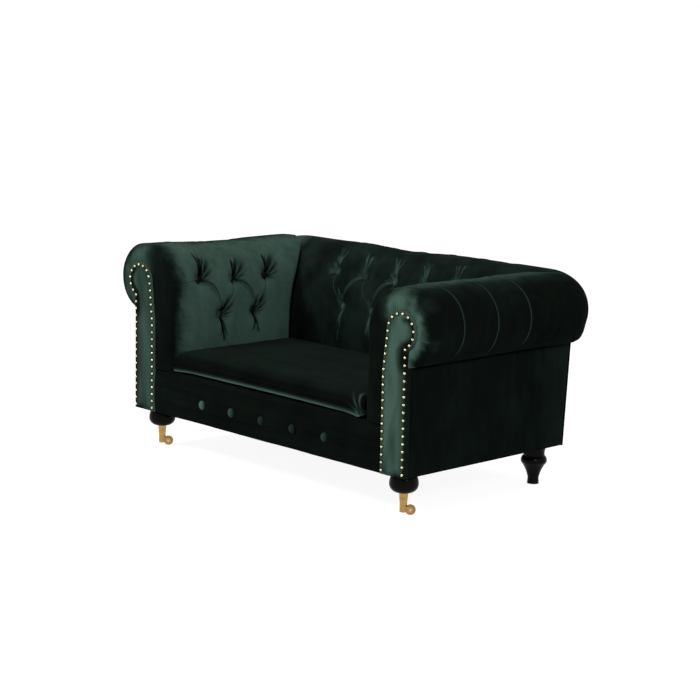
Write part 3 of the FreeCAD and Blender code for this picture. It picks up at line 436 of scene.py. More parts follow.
# Padded section and its folds
class Section:
    """The padding's section as arrays: up the inside face, over the roll and back to the crease.

    reach and rise are the half-axes of the bend at the head of the face, and lean brings its foot forwards.
    """

    def __init__(self, reach, rise, lean=0.0):
        self.reach = reach
        self.rise = rise
        self.lean = lean
        self.bend = ROOF - rise
        self.mean_radius = (reach + rise) / 2
        self.upright = self.bend - PAD_BOTTOM
        self.top_start = self.upright + self.mean_radius * math.pi / 2
        self.top_end = self.top_start + PAD_DEPTH - reach
        crease_angle = -math.acos(CREASE_DEPTH / ROLL_RADIUS)
        self.length = self.top_end + ROLL_RADIUS * (math.pi / 2 - crease_angle)

    def samples(self):
        """Places along the section, close together on its buttoned face."""
        face = np.arange(0, self.top_start, FACE_STEP)
        count = int((self.length - self.top_start) / ROLL_STEP) + 1
        return np.concatenate([face, np.linspace(self.top_start, self.length, count)])

    def forward(self, z):
        """How far the face leans forwards at each height."""
        return self.lean * (1 - smooth_step(*LEAN_ENDS, z))

    def at(self, s):
        """Place (u, z) and the way out of the padding (u, z) at each s."""
        bend = math.pi - (s - self.upright) / self.mean_radius
        roll = math.pi / 2 - (s - self.top_end) / ROLL_RADIUS
        zones = [s <= self.upright, s <= self.top_start, s <= self.top_end]
        zero = np.zeros_like(s)
        u = np.select(zones, [zero, self.reach * (1 + np.cos(bend)), self.reach + s - self.top_start],
                      PAD_DEPTH + ROLL_RADIUS * np.cos(roll))
        z = np.select(zones, [PAD_BOTTOM + s, self.bend + self.rise * np.sin(bend), zero + ROOF],
                      ROOF - ROLL_RADIUS * (1 - np.sin(roll)))
        u = np.where(s <= self.top_end, u - self.forward(z), u)
        out_u = np.select(zones, [zero - 1, np.cos(bend) / self.reach, zero], np.cos(roll))
        out_z = np.select(zones, [zero, np.sin(bend) / self.rise, zero + 1], np.sin(roll))
        size = np.hypot(out_u, out_z)
        return u, z, out_u / size, out_z / size

    def way_to(self, height):
        """The s of a height on the inside face."""
        if height <= self.bend:
            return height - PAD_BOTTOM
        return self.upright + self.mean_radius * math.asin(min(1, (height - self.bend) / self.rise))

    def depth_at(self, height):
        """How far out (u) the inside face lies at each height."""
        climb = np.clip((height - self.bend) / self.rise, 0, 1)
        return self.reach * (1 - np.sqrt(1 - climb ** 2)) - self.forward(height)

    def button_place(self, height):
        """The s of a CAD button from its height, allowing for its sink into the padding."""
        s = self.way_to(height)
        *_, out_z = self.at(np.array([s]))
        return self.way_to(height + BUTTON_SINK * float(out_z[0]))


def cavity():
    """Points (u, z) of the inside of the padding, from the crease round the scroll down to the seat."""
    scroll_u = SCROLL_X - ARM_INSIDE
    crease_u = PAD_DEPTH + CREASE_DEPTH
    radius = SCROLL_RADIUS + CAVITY_SLACK
    start = -math.acos((crease_u - scroll_u) / radius)
    angles = np.linspace(start, math.pi, CAVITY_POINTS)
    rim_u = scroll_u + radius * np.cos(angles)
    rim_z = SCROLL_Z + radius * np.sin(angles)
    return np.append(rim_u, [CAVITY, CAVITY]), np.append(rim_z, [NECK_Z, PAD_BOTTOM])


ARM_SECTION = Section(ARM_REACH, ARM_RISE)
BACK_SECTION = Section(BACK_REACH, BACK_RISE, BACK_LEAN)


def in_facing(u, z):
    """Whether places on the section lie within the facing's outline."""
    inner = FACING_INSIDE - ARM_INSIDE + np.clip(z - NECK_Z, 0, SCROLL_Z - NECK_Z) * NECK_SLOPE
    pillar = (z < SCROLL_Z) & (u > inner) & (u < SIDE_PLANE - ARM_INSIDE)
    scroll = (u - SCROLL_X + ARM_INSIDE) ** 2 + (z - SCROLL_Z) ** 2 < SCROLL_RADIUS ** 2
    return pillar | scroll


RING_SEARCH = 0.09
RING_STEP = 0.0005
RING_OVERLAP = 0.001


def reach_to_facing(u, z, out_u, out_z):
    """How far inwards each place of the section is from the facing's edge."""
    reach = np.zeros_like(u)
    for step in np.arange(0, RING_SEARCH, RING_STEP):
        outside = ~in_facing(u - out_u * step, z - out_z * step)
        reach = np.where(outside & (reach >= step - 1.2 * RING_STEP), step + RING_STEP, reach)
    return np.maximum(reach - RING_OVERLAP, RING_STEP)


def bezier(start, middle, end, count=18):
    """Points of a bowed fold."""
    share = np.linspace(0, 1, count)[:, None]
    start, middle, end = (np.array(point, float) for point in (start, middle, end))
    return (1 - share) ** 2 * start + 2 * share * (1 - share) * middle + share ** 2 * end


PATCH_RAYS = 15


class Folds:
    """Buttons and folds of a padded face over its ways s and t, summed as a depth and as painted shading of
    creases and hollows.
    """

    def __init__(self, s, t):
        self.s = s
        self.t = t
        self.depth = np.zeros((len(t), len(s)))
        self.mark = np.zeros((len(t), len(s)))

    def window(self, low, high, margin):
        """The part of the face near a box of places, as slices and the ways s and t there."""
        rows = slice(*np.searchsorted(self.t, (low[1] - margin, high[1] + margin)))
        columns = slice(*np.searchsorted(self.s, (low[0] - margin, high[0] + margin)))
        t, s = np.meshgrid(self.t[rows], self.s[columns], indexing="ij")
        return (rows, columns), s, t

    def dimple(self, s, t, depth, radius):
        """A round pull towards a button, steep in its middle and long in its slopes."""
        where, near_s, near_t = self.window((s, t), (s, t), 8 * radius)
        away = np.hypot(near_s - s, near_t - t)
        self.depth[where] += depth / (1 + (away / radius) ** 2) ** 1.5

    def patch(self, button, offset, depth, sizes, slant):
        """A hollow beside a button, longer up the face than across, with painted shading over it in rays,
        dark on light pile and light on dark pile.
        """
        middle = (button[0] + offset[0], button[1] + offset[1])
        where, near_s, near_t = self.window(middle, middle, 3 * max(sizes))
        up = near_s - middle[0]
        across = near_t - middle[1] - slant * up
        shade = np.exp(-((up / sizes[0]) ** 2 + (across / sizes[1]) ** 2) ** 1.8)
        around = np.arctan2(near_t - button[1], near_s - button[0] + 0.004)
        rays = 0.66 + 0.34 * np.sin(PATCH_RAYS * around + 40 * button[1])
        self.depth[where] += depth * shade * rays
        # Painted shading over the hollow, in rays.
        self.mark[where] = np.maximum(self.mark[where], shade * rays)

    def crease(self, line, depth, width, lip=0.35, tail=0.0, mark=1.0):
        """A fold along a line, deepest at its start, with a raised lip on each side."""
        where, near_s, near_t = self.window(line.min(axis=0), line.max(axis=0), 12 * width)
        best = np.full(near_s.shape, 1e9)
        share = np.zeros_like(near_s)
        pieces = len(line) - 1
        for number, (start, end) in enumerate(zip(line, line[1:])):
            along = end - start
            part = ((near_s - start[0]) * along[0] + (near_t - start[1]) * along[1]) / along.dot(along)
            part = np.clip(part, 0, 1)
            away = np.hypot(near_s - start[0] - part * along[0], near_t - start[1] - part * along[1])
            nearer = away < best
            best = np.where(nearer, away, best)
            share = np.where(nearer, (number + part) / pieces, share)
        strength = (tail + (1 - tail) * (1 - share)) * (1 - smooth_step(0.8, 1.0, share))
        groove = bell(best, width, 1.3)
        ridge = bell(best - 2.6 * width, 1.5 * width)
        self.depth[where] += depth * strength * (groove - lip * ridge)
        # Painted shading along the crease.
        self.mark[where] = np.maximum(self.mark[where], mark * strength * bell(best, width))


TUFT_DEPTH = 0.018
TUFT_SPREAD = 0.015
NEIGHBOUR_REACH = 0.09
UPPER_FAN = (-0.04, 0.07, 0.18, 0.30, 0.44)
LOWER_FAN = (0.50, 0.28, 0.06)
SEAT_FAN = (-0.10, 0.06, 0.24)
# Strength of the painted shading along the fans.
FAN_SHADING = 1.35
WHISKER_DROPS = (-0.002, 0.004, 0.010, 0.016)
WHISKER_RUN = 0.026
# Strength of the painted shading along the whiskers.
WHISKER_SHADING = 1.1
# Folds between rows: shares of the way that the bow sags, depth, strength of painted shading and strength at
# the tail
GATHERED_BOWS = (((0.04, 0.88), 0.0034, 1.0, 0.40), ((0.14, 0.80), 0.0024, 0.8, 0.10),
                 ((0.24, 0.72), 0.0018, 0.7, 0.0))
FAR_BOWS = (((0.60, 0.05), 0.0022, 0.55, 0.2),)


def tuft(folds, upper, lower, way, knot, fine, seed):
    """Buttons with their gathers: fans above the upper row, bowed folds between rows, pleats to the seat.

    way is the side of each button where its gathers bunch, knot how far that bunch's painted shading reaches
    (dark on light pile, light on dark pile), and fine the width of a crease.
    """
    pick = np.random.default_rng(seed)

    def vary(value, share=0.25):
        return value * (1 + share * (2 * pick.random() - 1))

    def fan(s, t, leans, run, up, tail):
        for share in leans:
            lean = way * share
            length = vary(run, 0.4)
            tip = (s + up * length, t + length * (lean + 0.14 * (pick.random() - 0.5)))
            middle = (s + up * 0.5 * length, t + 0.25 * length * lean + 0.006 * (pick.random() - 0.4))
            line = bezier((s + up * 0.003, t + 0.014 * lean), middle, tip)
            folds.crease(line, vary(2.6 * fine), vary(fine), tail=tail, mark=vary(FAN_SHADING, 0.15))

    def whiskers(s, t):
        for drop in WHISKER_DROPS:
            tip = (s - drop, t + way * vary(WHISKER_RUN))
            line = bezier((s, t + way * 0.004), (s - drop * 0.4, t + way * 0.5 * WHISKER_RUN), tip)
            folds.crease(line, vary(1.4 * fine), 0.9 * fine, tail=0.2, mark=WHISKER_SHADING)

    def bow(high, low, sag, depth, mark, tail):
        middle = (high[0] - sag[0] * (high[0] - low[0]), high[1] + sag[1] * (low[1] - high[1]))
        folds.crease(bezier(high, middle, (low[0] + 0.012, low[1])), depth, fine, tail=tail, mark=mark)

    for s, t in upper:
        folds.dimple(s, t, TUFT_DEPTH, TUFT_SPREAD)
        folds.patch((s, t), (0.8 * knot, way * 0.6 * knot), 0.0045, (1.2 * knot, 0.9 * knot), way * 0.25)
        fan(s, t, UPPER_FAN, 0.052, 1, 0.8)
        whiskers(s, t)
        for low in lower:
            side = (low[1] - t) * way
            if abs(side) > NEIGHBOUR_REACH:
                continue
            for shape in GATHERED_BOWS if side > 0 else FAR_BOWS:
                bow((s, t), low, *shape)
    for s, t in lower:
        folds.dimple(s, t, TUFT_DEPTH, TUFT_SPREAD)
        folds.patch((s, t), (0.6 * knot, way * 0.5 * knot), 0.0040, (1.3 * knot, 0.8 * knot), way * 0.35)
        fan(s, t, LOWER_FAN, 0.034, 1, 0.5)
        fan(s, t, SEAT_FAN, 0.056, -1, 0.75)


PLEAT_DEPTH = 0.0016
PLEAT_WIDTH = 0.0012


def roll_pleats(folds, section, places, seed):
    """Fine tucks across the roll, one behind each upper button."""
    pick = np.random.default_rng(seed)
    start = section.top_start - 0.010
    end = section.length - 0.024
    for t in places:
        lean = 0.005 * (2 * pick.random() - 1)
        line = bezier((start, t - 0.003), ((start + end) / 2, t + 0.005 + lean), (end, t - 0.004 + lean))
        folds.crease(line, PLEAT_DEPTH, PLEAT_WIDTH, lip=0.6, tail=0.85, mark=0.75)


def round_corner(u, share, end):
    """Way along and across a run for places of the section, a share of the way round the back corner.

    end is where the inside of the padding meets the other run; the outside sweeps round the corner.
    """
    pivot = PAD_DEPTH - CORNER_RADIUS
    straight = pivot + MITRE_STEP
    out = np.maximum(u - pivot, 1e-6)
    travelled = share * (straight + out * math.pi / 4)
    angle = np.maximum(travelled - straight, 0) / out
    swept = travelled > straight
    along_out = np.where(swept, pivot + out * np.sin(angle), -MITRE_STEP + travelled)
    across_out = np.where(swept, pivot + out * np.cos(angle), u)
    inside = u <= pivot
    return (np.where(inside, -MITRE_STEP + share * (end + MITRE_STEP), along_out),
            np.where(inside, u, across_out))


def face_end(u, z, other):
    """Where the face of one run meets the other run's face, and the plain mitre outside that."""
    return u + (other.depth_at(z) - u) * (1 - smooth_step(0.050, 0.070, u))


CORNER_COVER = 0.026
SEAM_DEPTH = 0.0035


def corner_push(section, s, share):
    """How far the roll's underside is drawn out at the corner to cover the panels below it."""
    near_crease = smooth_step(section.length - 0.085, section.length, s)
    return CORNER_COVER / math.sqrt(2) * near_crease * smooth_step(0.25, 1, share)


def seam_pull(share):
    """How deep the cover is drawn into the mitre seam, a share of the way round the corner."""
    return np.where(share > 0, SEAM_DEPTH * bell(1 - share, 0.16, 1.4), 0)


def sagged(z, amount):
    """Height lost where the roll sags, none at the seat and all of it at the top."""
    return z - amount * smooth_step(0.23, 0.46, z)


TOP_SAG = {"left": 0.0085, "right": 0.0015}


def arm_sag(side, span):
    """How far an arm's roll sags at a share of its length from the front: none at its ring, then evenly."""
    return TOP_SAG[side] * smooth_step(0.08, 0.65, span)


def back_sag(span):
    """How far the back's roll sags at a share of its length from the left."""
    return TOP_SAG["left"] + (TOP_SAG["right"] - TOP_SAG["left"]) * smooth_step(0.50, 0.90, span)


def buttons_of(node, section, axis):
    """Upper and lower buttons of a CAD node as places (s, t) on a section that runs along an axis."""
    places = [(section.button_place(middle.z), middle[axis]) for middle in islands(node)]
    split = np.mean([s for s, _ in places])
    return [place for place in places if place[0] > split], [place for place in places if place[0] <= split]


def wrinkles_of(grid_s, grid_t, seed):
    """Slight unevenness of stuffing under a cover."""
    return 0.0012 * fabric_noise(grid_points(grid_s, grid_t, 0), 24, seed)


def by_crease(section, grid_s):
    """1 over the cover, falling to 0 where it is held in the crease."""
    return np.clip((section.length - grid_s) / 0.03, 0, 1)


def finish_cover(name, node, outer, inner, nap_sheen_and_shade, shading_grid):
    """Join the outside and inside of a tufted cover and give it its velvet."""
    made = tube(name, np.concatenate([outer, inner], axis=1))
    blank = np.zeros(inner.shape[:2])
    # Painted sheen, shade and crease shading on the outside only.
    paint_velvet(made, np.concatenate([nap_sheen_and_shade, blank], axis=1), np.concatenate([shading_grid, blank], axis=1))
    finish_piece(made, "sofa", VELVET_UPRIGHT, node)


def seated_buttons(section, places, sag_at, start, out_way, along):
    """Where buttons (s, t) of a section sit, sunk and sagged, each with the way it faces.

    start is where u and t are 0, out_way is the way of u and along the way of t.
    """
    seats = []
    for s, t in places:
        (u,), (z,), (out_u,), (out_z,) = section.at(np.array([s]))
        height = float(sagged(z - out_z * BUTTON_SINK, sag_at(t)))
        place = start + out_way * (u - out_u * BUTTON_SINK) + along * t + Vector((0, 0, height))
        seats.append((place, out_way * out_u + Vector((0, 0, out_z))))
    return seats


FRONT_TUCK = -22
FRONT_BOW = 0.022
GATHER_DEPTH = 0.0005
ARM_KNOT = 0.023
ARM_FINE = 0.0019
# Painted sheen of the arm cover: on its face, painted shade towards the head of the face, on its roll and the
# top of the roll, on its front ring beside the nails for each arm, and on each button in turn.
FACE_SHEEN = 0.93
HEAD_SHADE = 0.28
ROLL_SHEEN = 0.024
ROLL_TOP_SHEEN = 0.048
RING_BASE_SHEEN = 0.02
RING_SHEEN = {"left": 0.7, "right": 1.25}
ARM_BUTTON_SHEENS = (0.12, 0.08, 0.08, 0.6, 0.1)


def arm_sheen_and_shade(side, grid_s, grid_t, outer, gathers, from_nails, seed):
    """Painted sheen and shade on an arm, for the pile lying different ways: light on its face with painted
    shade towards its head, dark on its roll and a little lighter over its top, and painted sheen in streaks
    on its front ring beside its nails, stronger on the right arm.
    """
    top_start = ARM_SECTION.top_start
    top_end = ARM_SECTION.top_end
    blotches = fabric_noise(outer, 60, seed + 5)
    specks = fabric_noise(outer, 190, seed + 6)
    mottle = 1 + 0.07 * blotches + 0.05 * specks
    head = smooth_step(ARM_SECTION.upright - 0.03, top_start - 0.03, grid_s)
    over_roll = smooth_step(top_start - 0.040, top_end + 0.020, grid_s + 0.012 * blotches)
    down_roll = smooth_step(top_end, top_end + 0.07, grid_s + 0.02 * blotches)
    roll_sheen = ROLL_SHEEN + ROLL_TOP_SHEEN * (1 - down_roll)
    face_sheen = mottle * ((FACE_SHEEN - HEAD_SHADE * head) * (1 - over_roll) + roll_sheen * over_roll)
    outside = smooth_step(top_start - 0.10, top_end, grid_s + 0.01 * blotches)
    band = 0.044 - 0.022 * smooth_step(top_end - 0.01, top_end + 0.06, grid_s)
    by_nails = 1 - smooth_step(0.25, 1.35, (from_nails + 0.003 * specks + 0.005 * gathers) / band)
    streaked = 0.75 + 0.45 * gathers + 0.25 * blotches
    lit = by_nails * streaked + 0.07 * np.clip(blotches, 0, 1)
    ring_sheen = RING_BASE_SHEEN + RING_SHEEN[side] * outside * lit
    from_ring = smooth_step(0.010, 0.058, grid_t - RING_FRONT + 0.005 * blotches + 0.003 * specks)
    return ring_sheen + (face_sheen - ring_sheen) * from_ring


def arm_cover(side, way, seed):
    """The deep-buttoned cover of an arm, from its gathered front ring to the mitre in the back corner."""
    section = ARM_SECTION
    node = side + "_arm_buttons"
    s = section.samples()
    u, z, out_u, out_z = section.at(s)
    corner = BACK_INSIDE - MITRE_GAP
    bend = corner - MITRE_STEP
    tilt = np.radians(np.linspace(FRONT_TUCK, 90, FRONT_STATIONS))
    ring_y = RING_FRONT + FRONT_BOW * (1 - np.cos(tilt))
    ring_back = ring_y[-1]
    body_y = np.linspace(ring_back, bend, int((bend - ring_back) / LENGTH_STEP) + 1)[1:]
    shares = np.linspace(0, 1, CORNER_STATIONS + 1)[1:]
    straight = len(tilt) + len(body_y)
    t = np.concatenate([ring_y, body_y, bend + shares * MITRE_STEP])
    share = np.concatenate([np.zeros(straight), shares])[:, None]
    grid_t, grid_s = np.meshgrid(t, s, indexing="ij")

    def sag_at(place):
        return arm_sag(side, (place - ring_back) / (bend - ring_back))

    folds = Folds(s, t)
    upper, lower = buttons_of(node, section, 1)
    tuft(folds, upper, lower, 1, ARM_KNOT, ARM_FINE, seed)
    first_s, first_t = min(upper, key=lambda place: place[1])
    to_ring = bezier((first_s, first_t), (first_s - 0.003, first_t - 0.030),
                     (first_s - 0.007, first_t - 0.062))
    folds.crease(to_ring, 0.0012, 0.0010, tail=0.4, mark=0.5)
    roll_pleats(folds, section, [place for _, place in upper], seed + 1)

    behind = np.zeros(len(t) - len(tilt))
    near_front = np.concatenate([1 - smooth_step(20, 95, np.degrees(tilt)), behind])[:, None]
    ring_width = reach_to_facing(u, z, out_u, out_z)
    tuck = np.concatenate([1 - np.sin(tilt), behind])[:, None]
    inset = tuck * (ring_width / (1 - math.sin(math.radians(FRONT_TUCK))))
    waves = np.sin(grid_s * 980 + 2.5 * np.sin(grid_s * 97 + seed))
    gathers = waves * (0.5 + 0.5 * np.sin(grid_s * 141 + seed))
    near_crease = by_crease(section, grid_s)
    depth = folds.depth + wrinkles_of(grid_s, grid_t, seed) + GATHER_DEPTH * gathers * near_front
    depth = depth * near_crease + inset + seam_pull(share)
    face_u = u - out_u * depth
    face_z = sagged(z - out_z * depth, sag_at(t)[:, None] * near_crease)
    along, across = round_corner(face_u, share, face_end(face_u, z, BACK_SECTION))
    push = corner_push(section, s, share)
    along = np.where(share > 0, along + push, t[:, None] - corner)
    outer = grid_points(way * (ARM_INSIDE + across + push), corner + along, face_z)

    hole_u, hole_z = cavity()
    hole_t = t.copy()
    hole_t[:straight] = np.linspace(ring_y[0], bend, straight)
    hole_along, hole_across = round_corner(hole_u, share, hole_u)
    hole_along = np.where(share > 0, hole_along, hole_t[:, None] - corner)
    inner = grid_points(way * (ARM_INSIDE + hole_across), corner + hole_along, hole_z)

    from_nails = ring_width - inset + np.maximum(grid_t - ring_back, 0)
    nap_sheen_and_shade = arm_sheen_and_shade(side, grid_s, grid_t, outer, gathers, from_nails, seed)
    finish_cover(side + "_arm_cover", side + "_arm_pad", outer, inner, nap_sheen_and_shade, folds.mark * near_crease)
    seats = seated_buttons(section, upper + lower, sag_at, Vector((way * ARM_INSIDE, 0, 0)),
                           Vector((way, 0, 0)), Vector((0, 1, 0)))
    tuft_buttons(side + "_tuft_buttons", node, seats, TUFT_RADIUS, ARM_BUTTON_SHEENS)


BACK_KNOT = 0.011
BACK_FINE = 0.0012
# Painted sheen of the back cover: on its face, in a strip of painted light at its left end under the roll,
# and on each button in turn.
BACK_SHEEN = 0.072
CORNER_SHEEN = 0.6
BACK_BUTTON_SHEENS = (0.35, 0.25, 0.5)


def back_cover(seed):
    """The deep-buttoned cover of the back, from mitre to mitre."""
    section = BACK_SECTION
    s = section.samples()
    u, z, out_u, out_z = section.at(s)
    corner = ARM_INSIDE - MITRE_GAP
    bend = corner - MITRE_STEP
    body_x = np.linspace(-bend, bend, int(2 * bend / LENGTH_STEP) + 1)
    shares = np.linspace(0, 1, CORNER_STATIONS + 1)[1:]
    share = np.concatenate([shares[::-1], np.zeros(len(body_x)), shares])[:, None]
    t = np.concatenate([-bend - shares[::-1] * MITRE_STEP, body_x, bend + shares * MITRE_STEP])
    way = np.where(t < 0, -1.0, 1.0)[:, None]
    grid_t, grid_s = np.meshgrid(t, s, indexing="ij")

    def sag_at(place):
        return back_sag((place + bend) / (2 * bend))

    def placed(section_u, section_z, end, out):
        along, across = round_corner(section_u, share, end)
        x = np.where(share > 0, way * (corner + along + out), t[:, None])
        return grid_points(x, BACK_INSIDE + across + out, section_z)

    folds = Folds(s, t)
    upper, lower = buttons_of("back_buttons", section, 0)
    tuft(folds, upper, lower, -1, BACK_KNOT, BACK_FINE, seed)
    roll_pleats(folds, section, [place for _, place in upper], seed + 1)

    near_crease = by_crease(section, grid_s)
    depth = (folds.depth + wrinkles_of(grid_s, grid_t, seed)) * near_crease + seam_pull(share)
    face_u = u - out_u * depth
    face_z = sagged(z - out_z * depth, sag_at(t)[:, None] * near_crease)
    outer = placed(face_u, face_z, face_end(face_u, z, ARM_SECTION), corner_push(section, s, share))
    hole_u, hole_z = cavity()
    inner = placed(hole_u, hole_z, hole_u, 0)

    # Painted sheen on the back: low, mottled at random, a little darker over the roll, with a strip of
    # painted light at its left end.
    blotches = fabric_noise(outer, 40, seed + 5)
    on_top = smooth_step(section.top_start - 0.03, section.top_end, grid_s)
    nap_sheen_and_shade = BACK_SHEEN + 0.035 * np.clip(blotches, -1, 1) - 0.005 * on_top
    corner_light = smooth_step(corner - 0.012, corner, -grid_t) * smooth_step(0.435, 0.458, face_z)
    nap_sheen_and_shade = np.maximum(nap_sheen_and_shade, CORNER_SHEEN * corner_light)
    finish_cover("back_cover", "back_pad", outer, inner, nap_sheen_and_shade, folds.mark * near_crease)
    seats = seated_buttons(section, upper + lower, sag_at, Vector((0, BACK_INSIDE, 0)),
                           Vector((0, 1, 0)), Vector((1, 0, 0)))
    tuft_buttons("back_tuft_buttons", "back_buttons", seats, TUFT_RADIUS, BACK_BUTTON_SHEENS)


# Covered buttons and nail heads
SKIRT_SHARE = 0.92


def dome(radius, rise, rings, around, skirt):
    """Points and faces of a domed disc that faces +Z and rests on a skirt below its rim."""
    points = [(0, 0, rise)]
    for ring in range(1, rings + 1):
        angle = math.pi / 2 * ring / rings
        wide = radius * math.sin(angle)
        points += [(wide * math.cos(turn), wide * math.sin(turn), rise * math.cos(angle))
                   for turn in np.linspace(0, 2 * math.pi, around, endpoint=False)]
    points += [(SKIRT_SHARE * x, SKIRT_SHARE * y, -skirt) for x, y, _ in points[-around:]]
    faces = [(0, 1 + number, 1 + (number + 1) % around) for number in range(around)]
    for ring in range(rings):
        base = 1 + ring * around
        faces += [(base + number, base + around + number, base + around + (number + 1) % around,
                   base + (number + 1) % around) for number in range(around)]
    last = 1 + rings * around
    faces.append(tuple(last + number for number in reversed(range(around))))
    return points, faces


def domes(name, places, radius, rise, rings, around, skirt):
    """Equal domes, each at a place and turned to face a way, joined in one mesh."""
    shape, faces = dome(radius, rise, rings, around, skirt)
    points = []
    all_faces = []
    for number, (place, way) in enumerate(places):
        turn = way.to_track_quat("Z", "X")
        points += [place + turn @ Vector(point) for point in shape]
        all_faces += [tuple(index + number * len(shape) for index in face) for face in faces]
    return shape_object(name, points, all_faces, 75)


TUFT_RADIUS = 0.0092
RAIL_BUTTON_RADIUS = 0.0105
# Painted sheen of each rail button in turn
RAIL_BUTTON_SHEENS = (0.95, 0.5, 0.18, 0.18, 0.3)
BUTTON_RISE = 0.0050
BUTTON_SKIRT = 0.003
NAIL_RADIUS = 0.0030
NAIL_RISE = 0.0032
NAIL_SKIRT = 0.001


def tuft_buttons(name, node, places, radius, sheens):
    """Covered buttons in the tufts, each with its own painted sheen and a painted highlight on its left."""
    made = domes(name, places, radius, BUTTON_RISE, 6, 28, BUTTON_SKIRT)
    points = points_of(made)
    each = len(points) // len(places)
    pile_sheen = np.repeat([sheens[number % len(sheens)] for number in range(len(places))], each)
    middles = np.repeat([tuple(place) for place, _ in places], each, axis=0)
    # Painted highlight: lighter towards the left and front of each button.
    left = (middles[:, 0] - points[:, 0] + middles[:, 1] - points[:, 1]) / radius
    paint_velvet(made, pile_sheen * (0.8 + 0.7 * left))
    finish_piece(made, "sofa", VELVET_UPRIGHT, node)


def rail_buttons():
    """Covered buttons of the front rail."""
    sunk = Vector((0, BUTTON_RISE / 2, 0))
    places = [(middle + sunk, FRONT) for middle in islands("front_rail_buttons")]
    tuft_buttons("front_tuft_buttons", "front_rail_buttons", places, RAIL_BUTTON_RADIUS, RAIL_BUTTON_SHEENS)


def nail_heads(side):
    """Domed brass nail heads where the CAD has them."""
    node = side + "_facing_nails"
    places = [(Vector((middle.x, FACING_FRONT, middle.z)), FRONT) for middle in islands(node)]
    made = domes(side + "_nail_heads", places, NAIL_RADIUS, NAIL_RISE, 5, 16, NAIL_SKIRT)
    finish_piece(made, "sofa", NAIL_BRASS, node)


# Flat covers
def facing_edges(z):
    """Inner and outer edge of the facing at a height, as distances from the middle of the sofa."""
    inner = FACING_INSIDE + np.clip(z - NECK_Z, 0, None) * NECK_SLOPE
    chord = np.sqrt(np.clip(SCROLL_RADIUS ** 2 - (z - SCROLL_Z) ** 2, 0, None))
    inner = np.where(z > SCROLL_Z, SCROLL_X - chord, inner)
    scroll_foot = SCROLL_Z - math.sqrt(SCROLL_RADIUS ** 2 - SCROLL_SETBACK ** 2)
    return inner, np.where(z > scroll_foot, SCROLL_X + chord, SIDE_PLANE)


NAIL_INSET = 0.0065
NAIL_PULL = 0.0012
FACING_ROLL = 0.004
FACING_SWELL = 0.0030
NECK_SHADE = 0.335
# Painted sheen between the nails of each facing, stronger on the right, and on the facing's unseen back.
FACING_SHEEN = {"left": 0.48, "right": 0.85}
HIDDEN_SHEEN = 0.05


def facing_cover(side, way, seed):
    """A padded facing: rolled edges, pulled in at each nail, with a soft swell between the rows."""
    scroll_rows = SCROLL_Z + SCROLL_RADIUS * np.sin(np.linspace(0, math.pi / 2, 26)[1:-1])
    rows = np.concatenate([np.linspace(BODY_BOTTOM, SCROLL_Z, 100), scroll_rows])
    inner, outer = facing_edges(rows)
    columns = (1 - np.cos(np.linspace(0, math.pi, 27))) / 2
    x = inner[:, None] + (outer - inner)[:, None] * columns
    z = np.repeat(rows[:, None], len(columns), axis=1)
    base_x = np.linspace(FACING_INSIDE, SIDE_PLANE, 30)
    top_turn = np.linspace(0, math.pi, 40)
    rim_x = np.concatenate([inner, outer, base_x, SCROLL_X + SCROLL_RADIUS * np.cos(top_turn)])
    rim_z = np.concatenate([rows, rows, np.full(len(base_x), BODY_BOTTOM),
                            SCROLL_Z + SCROLL_RADIUS * np.sin(top_turn)])
    flat = np.stack([x, z], axis=-1)
    edge = nearest(flat, np.column_stack([rim_x, rim_z]))
    nails = np.array([(abs(middle.x), middle.z) for middle in islands(side + "_facing_nails")])
    nail_away = nearest(flat, nails)
    swell = FACING_SWELL * smooth_step(0.008, 0.03, edge)
    pull = NAIL_PULL * bell(nail_away, 0.0055)
    wrinkle = 0.0005 * fabric_noise(grid_points(x, z, 0), 35, seed) * smooth_step(0.004, 0.02, edge)
    front = FACING_FRONT + rolled_edge(edge, FACING_ROLL) - swell + pull + wrinkle
    made = slab(side + "_facing_cover", grid_points(way * x, front, z),
                grid_points(way * x, FACING_BACK, z), 40)

    # Painted sheen and shade on the facing: streaked sheen inside the nails, painted shade inside the outer
    # nails by the head and neck, and sheen beyond the nails on the inner side and at the head.
    blotches = fabric_noise(grid_points(x, 0.35 * z, 0), 90, seed + 3)
    within = edge - NAIL_INSET
    outer_side = smooth_step(0.40, 0.62, (x - inner[:, None]) / (outer - inner)[:, None])
    at_neck = bell(z - NECK_SHADE, 0.035)
    beside_head = 0.45 + 0.55 * smooth_step(0.29, 0.32, z) * smooth_step(0.42, 0.41, z)
    shade_width = (0.013 + 0.007 * at_neck) * (1 + 0.4 * blotches)
    shade = outer_side * beside_head * (1 - smooth_step(0.35, 1.2, np.maximum(within, 0) / shade_width))
    streaked = FACING_SHEEN[side] * (1 + 0.30 * blotches) * (1 - 0.95 * shade)
    beyond = 0.05 + 0.65 * np.maximum(1 - outer_side, smooth_step(0.34, 0.38, z))
    light = beyond + (streaked - beyond) * smooth_step(-0.002, 0.001, within)
    # Painted shade along the line of nails.
    light = light * (1 - 0.45 * bell(within, 0.0030))
    # Painted shading around each nail where the cover is pulled in: shade on light pile, sheen on dark pile,
    # none within the painted shade.
    pulls = 0.6 * bell(nail_away, 0.0042) * (1 - shade)
    paint_velvet(made, np.concatenate([light, np.full(x.shape, HIDDEN_SHEEN)], axis=1),
                 np.concatenate([pulls, np.zeros(x.shape)], axis=1))
    finish_piece(made, "sofa", VELVET_UPRIGHT, side + "_facing")


PANEL_SWELL = 0.0015
PANEL_ROLL = 0.006
# Painted sheen of the outside covers
SIDE_PANEL_SHEEN = 0.035
REAR_PANEL_SHEEN = 0.034


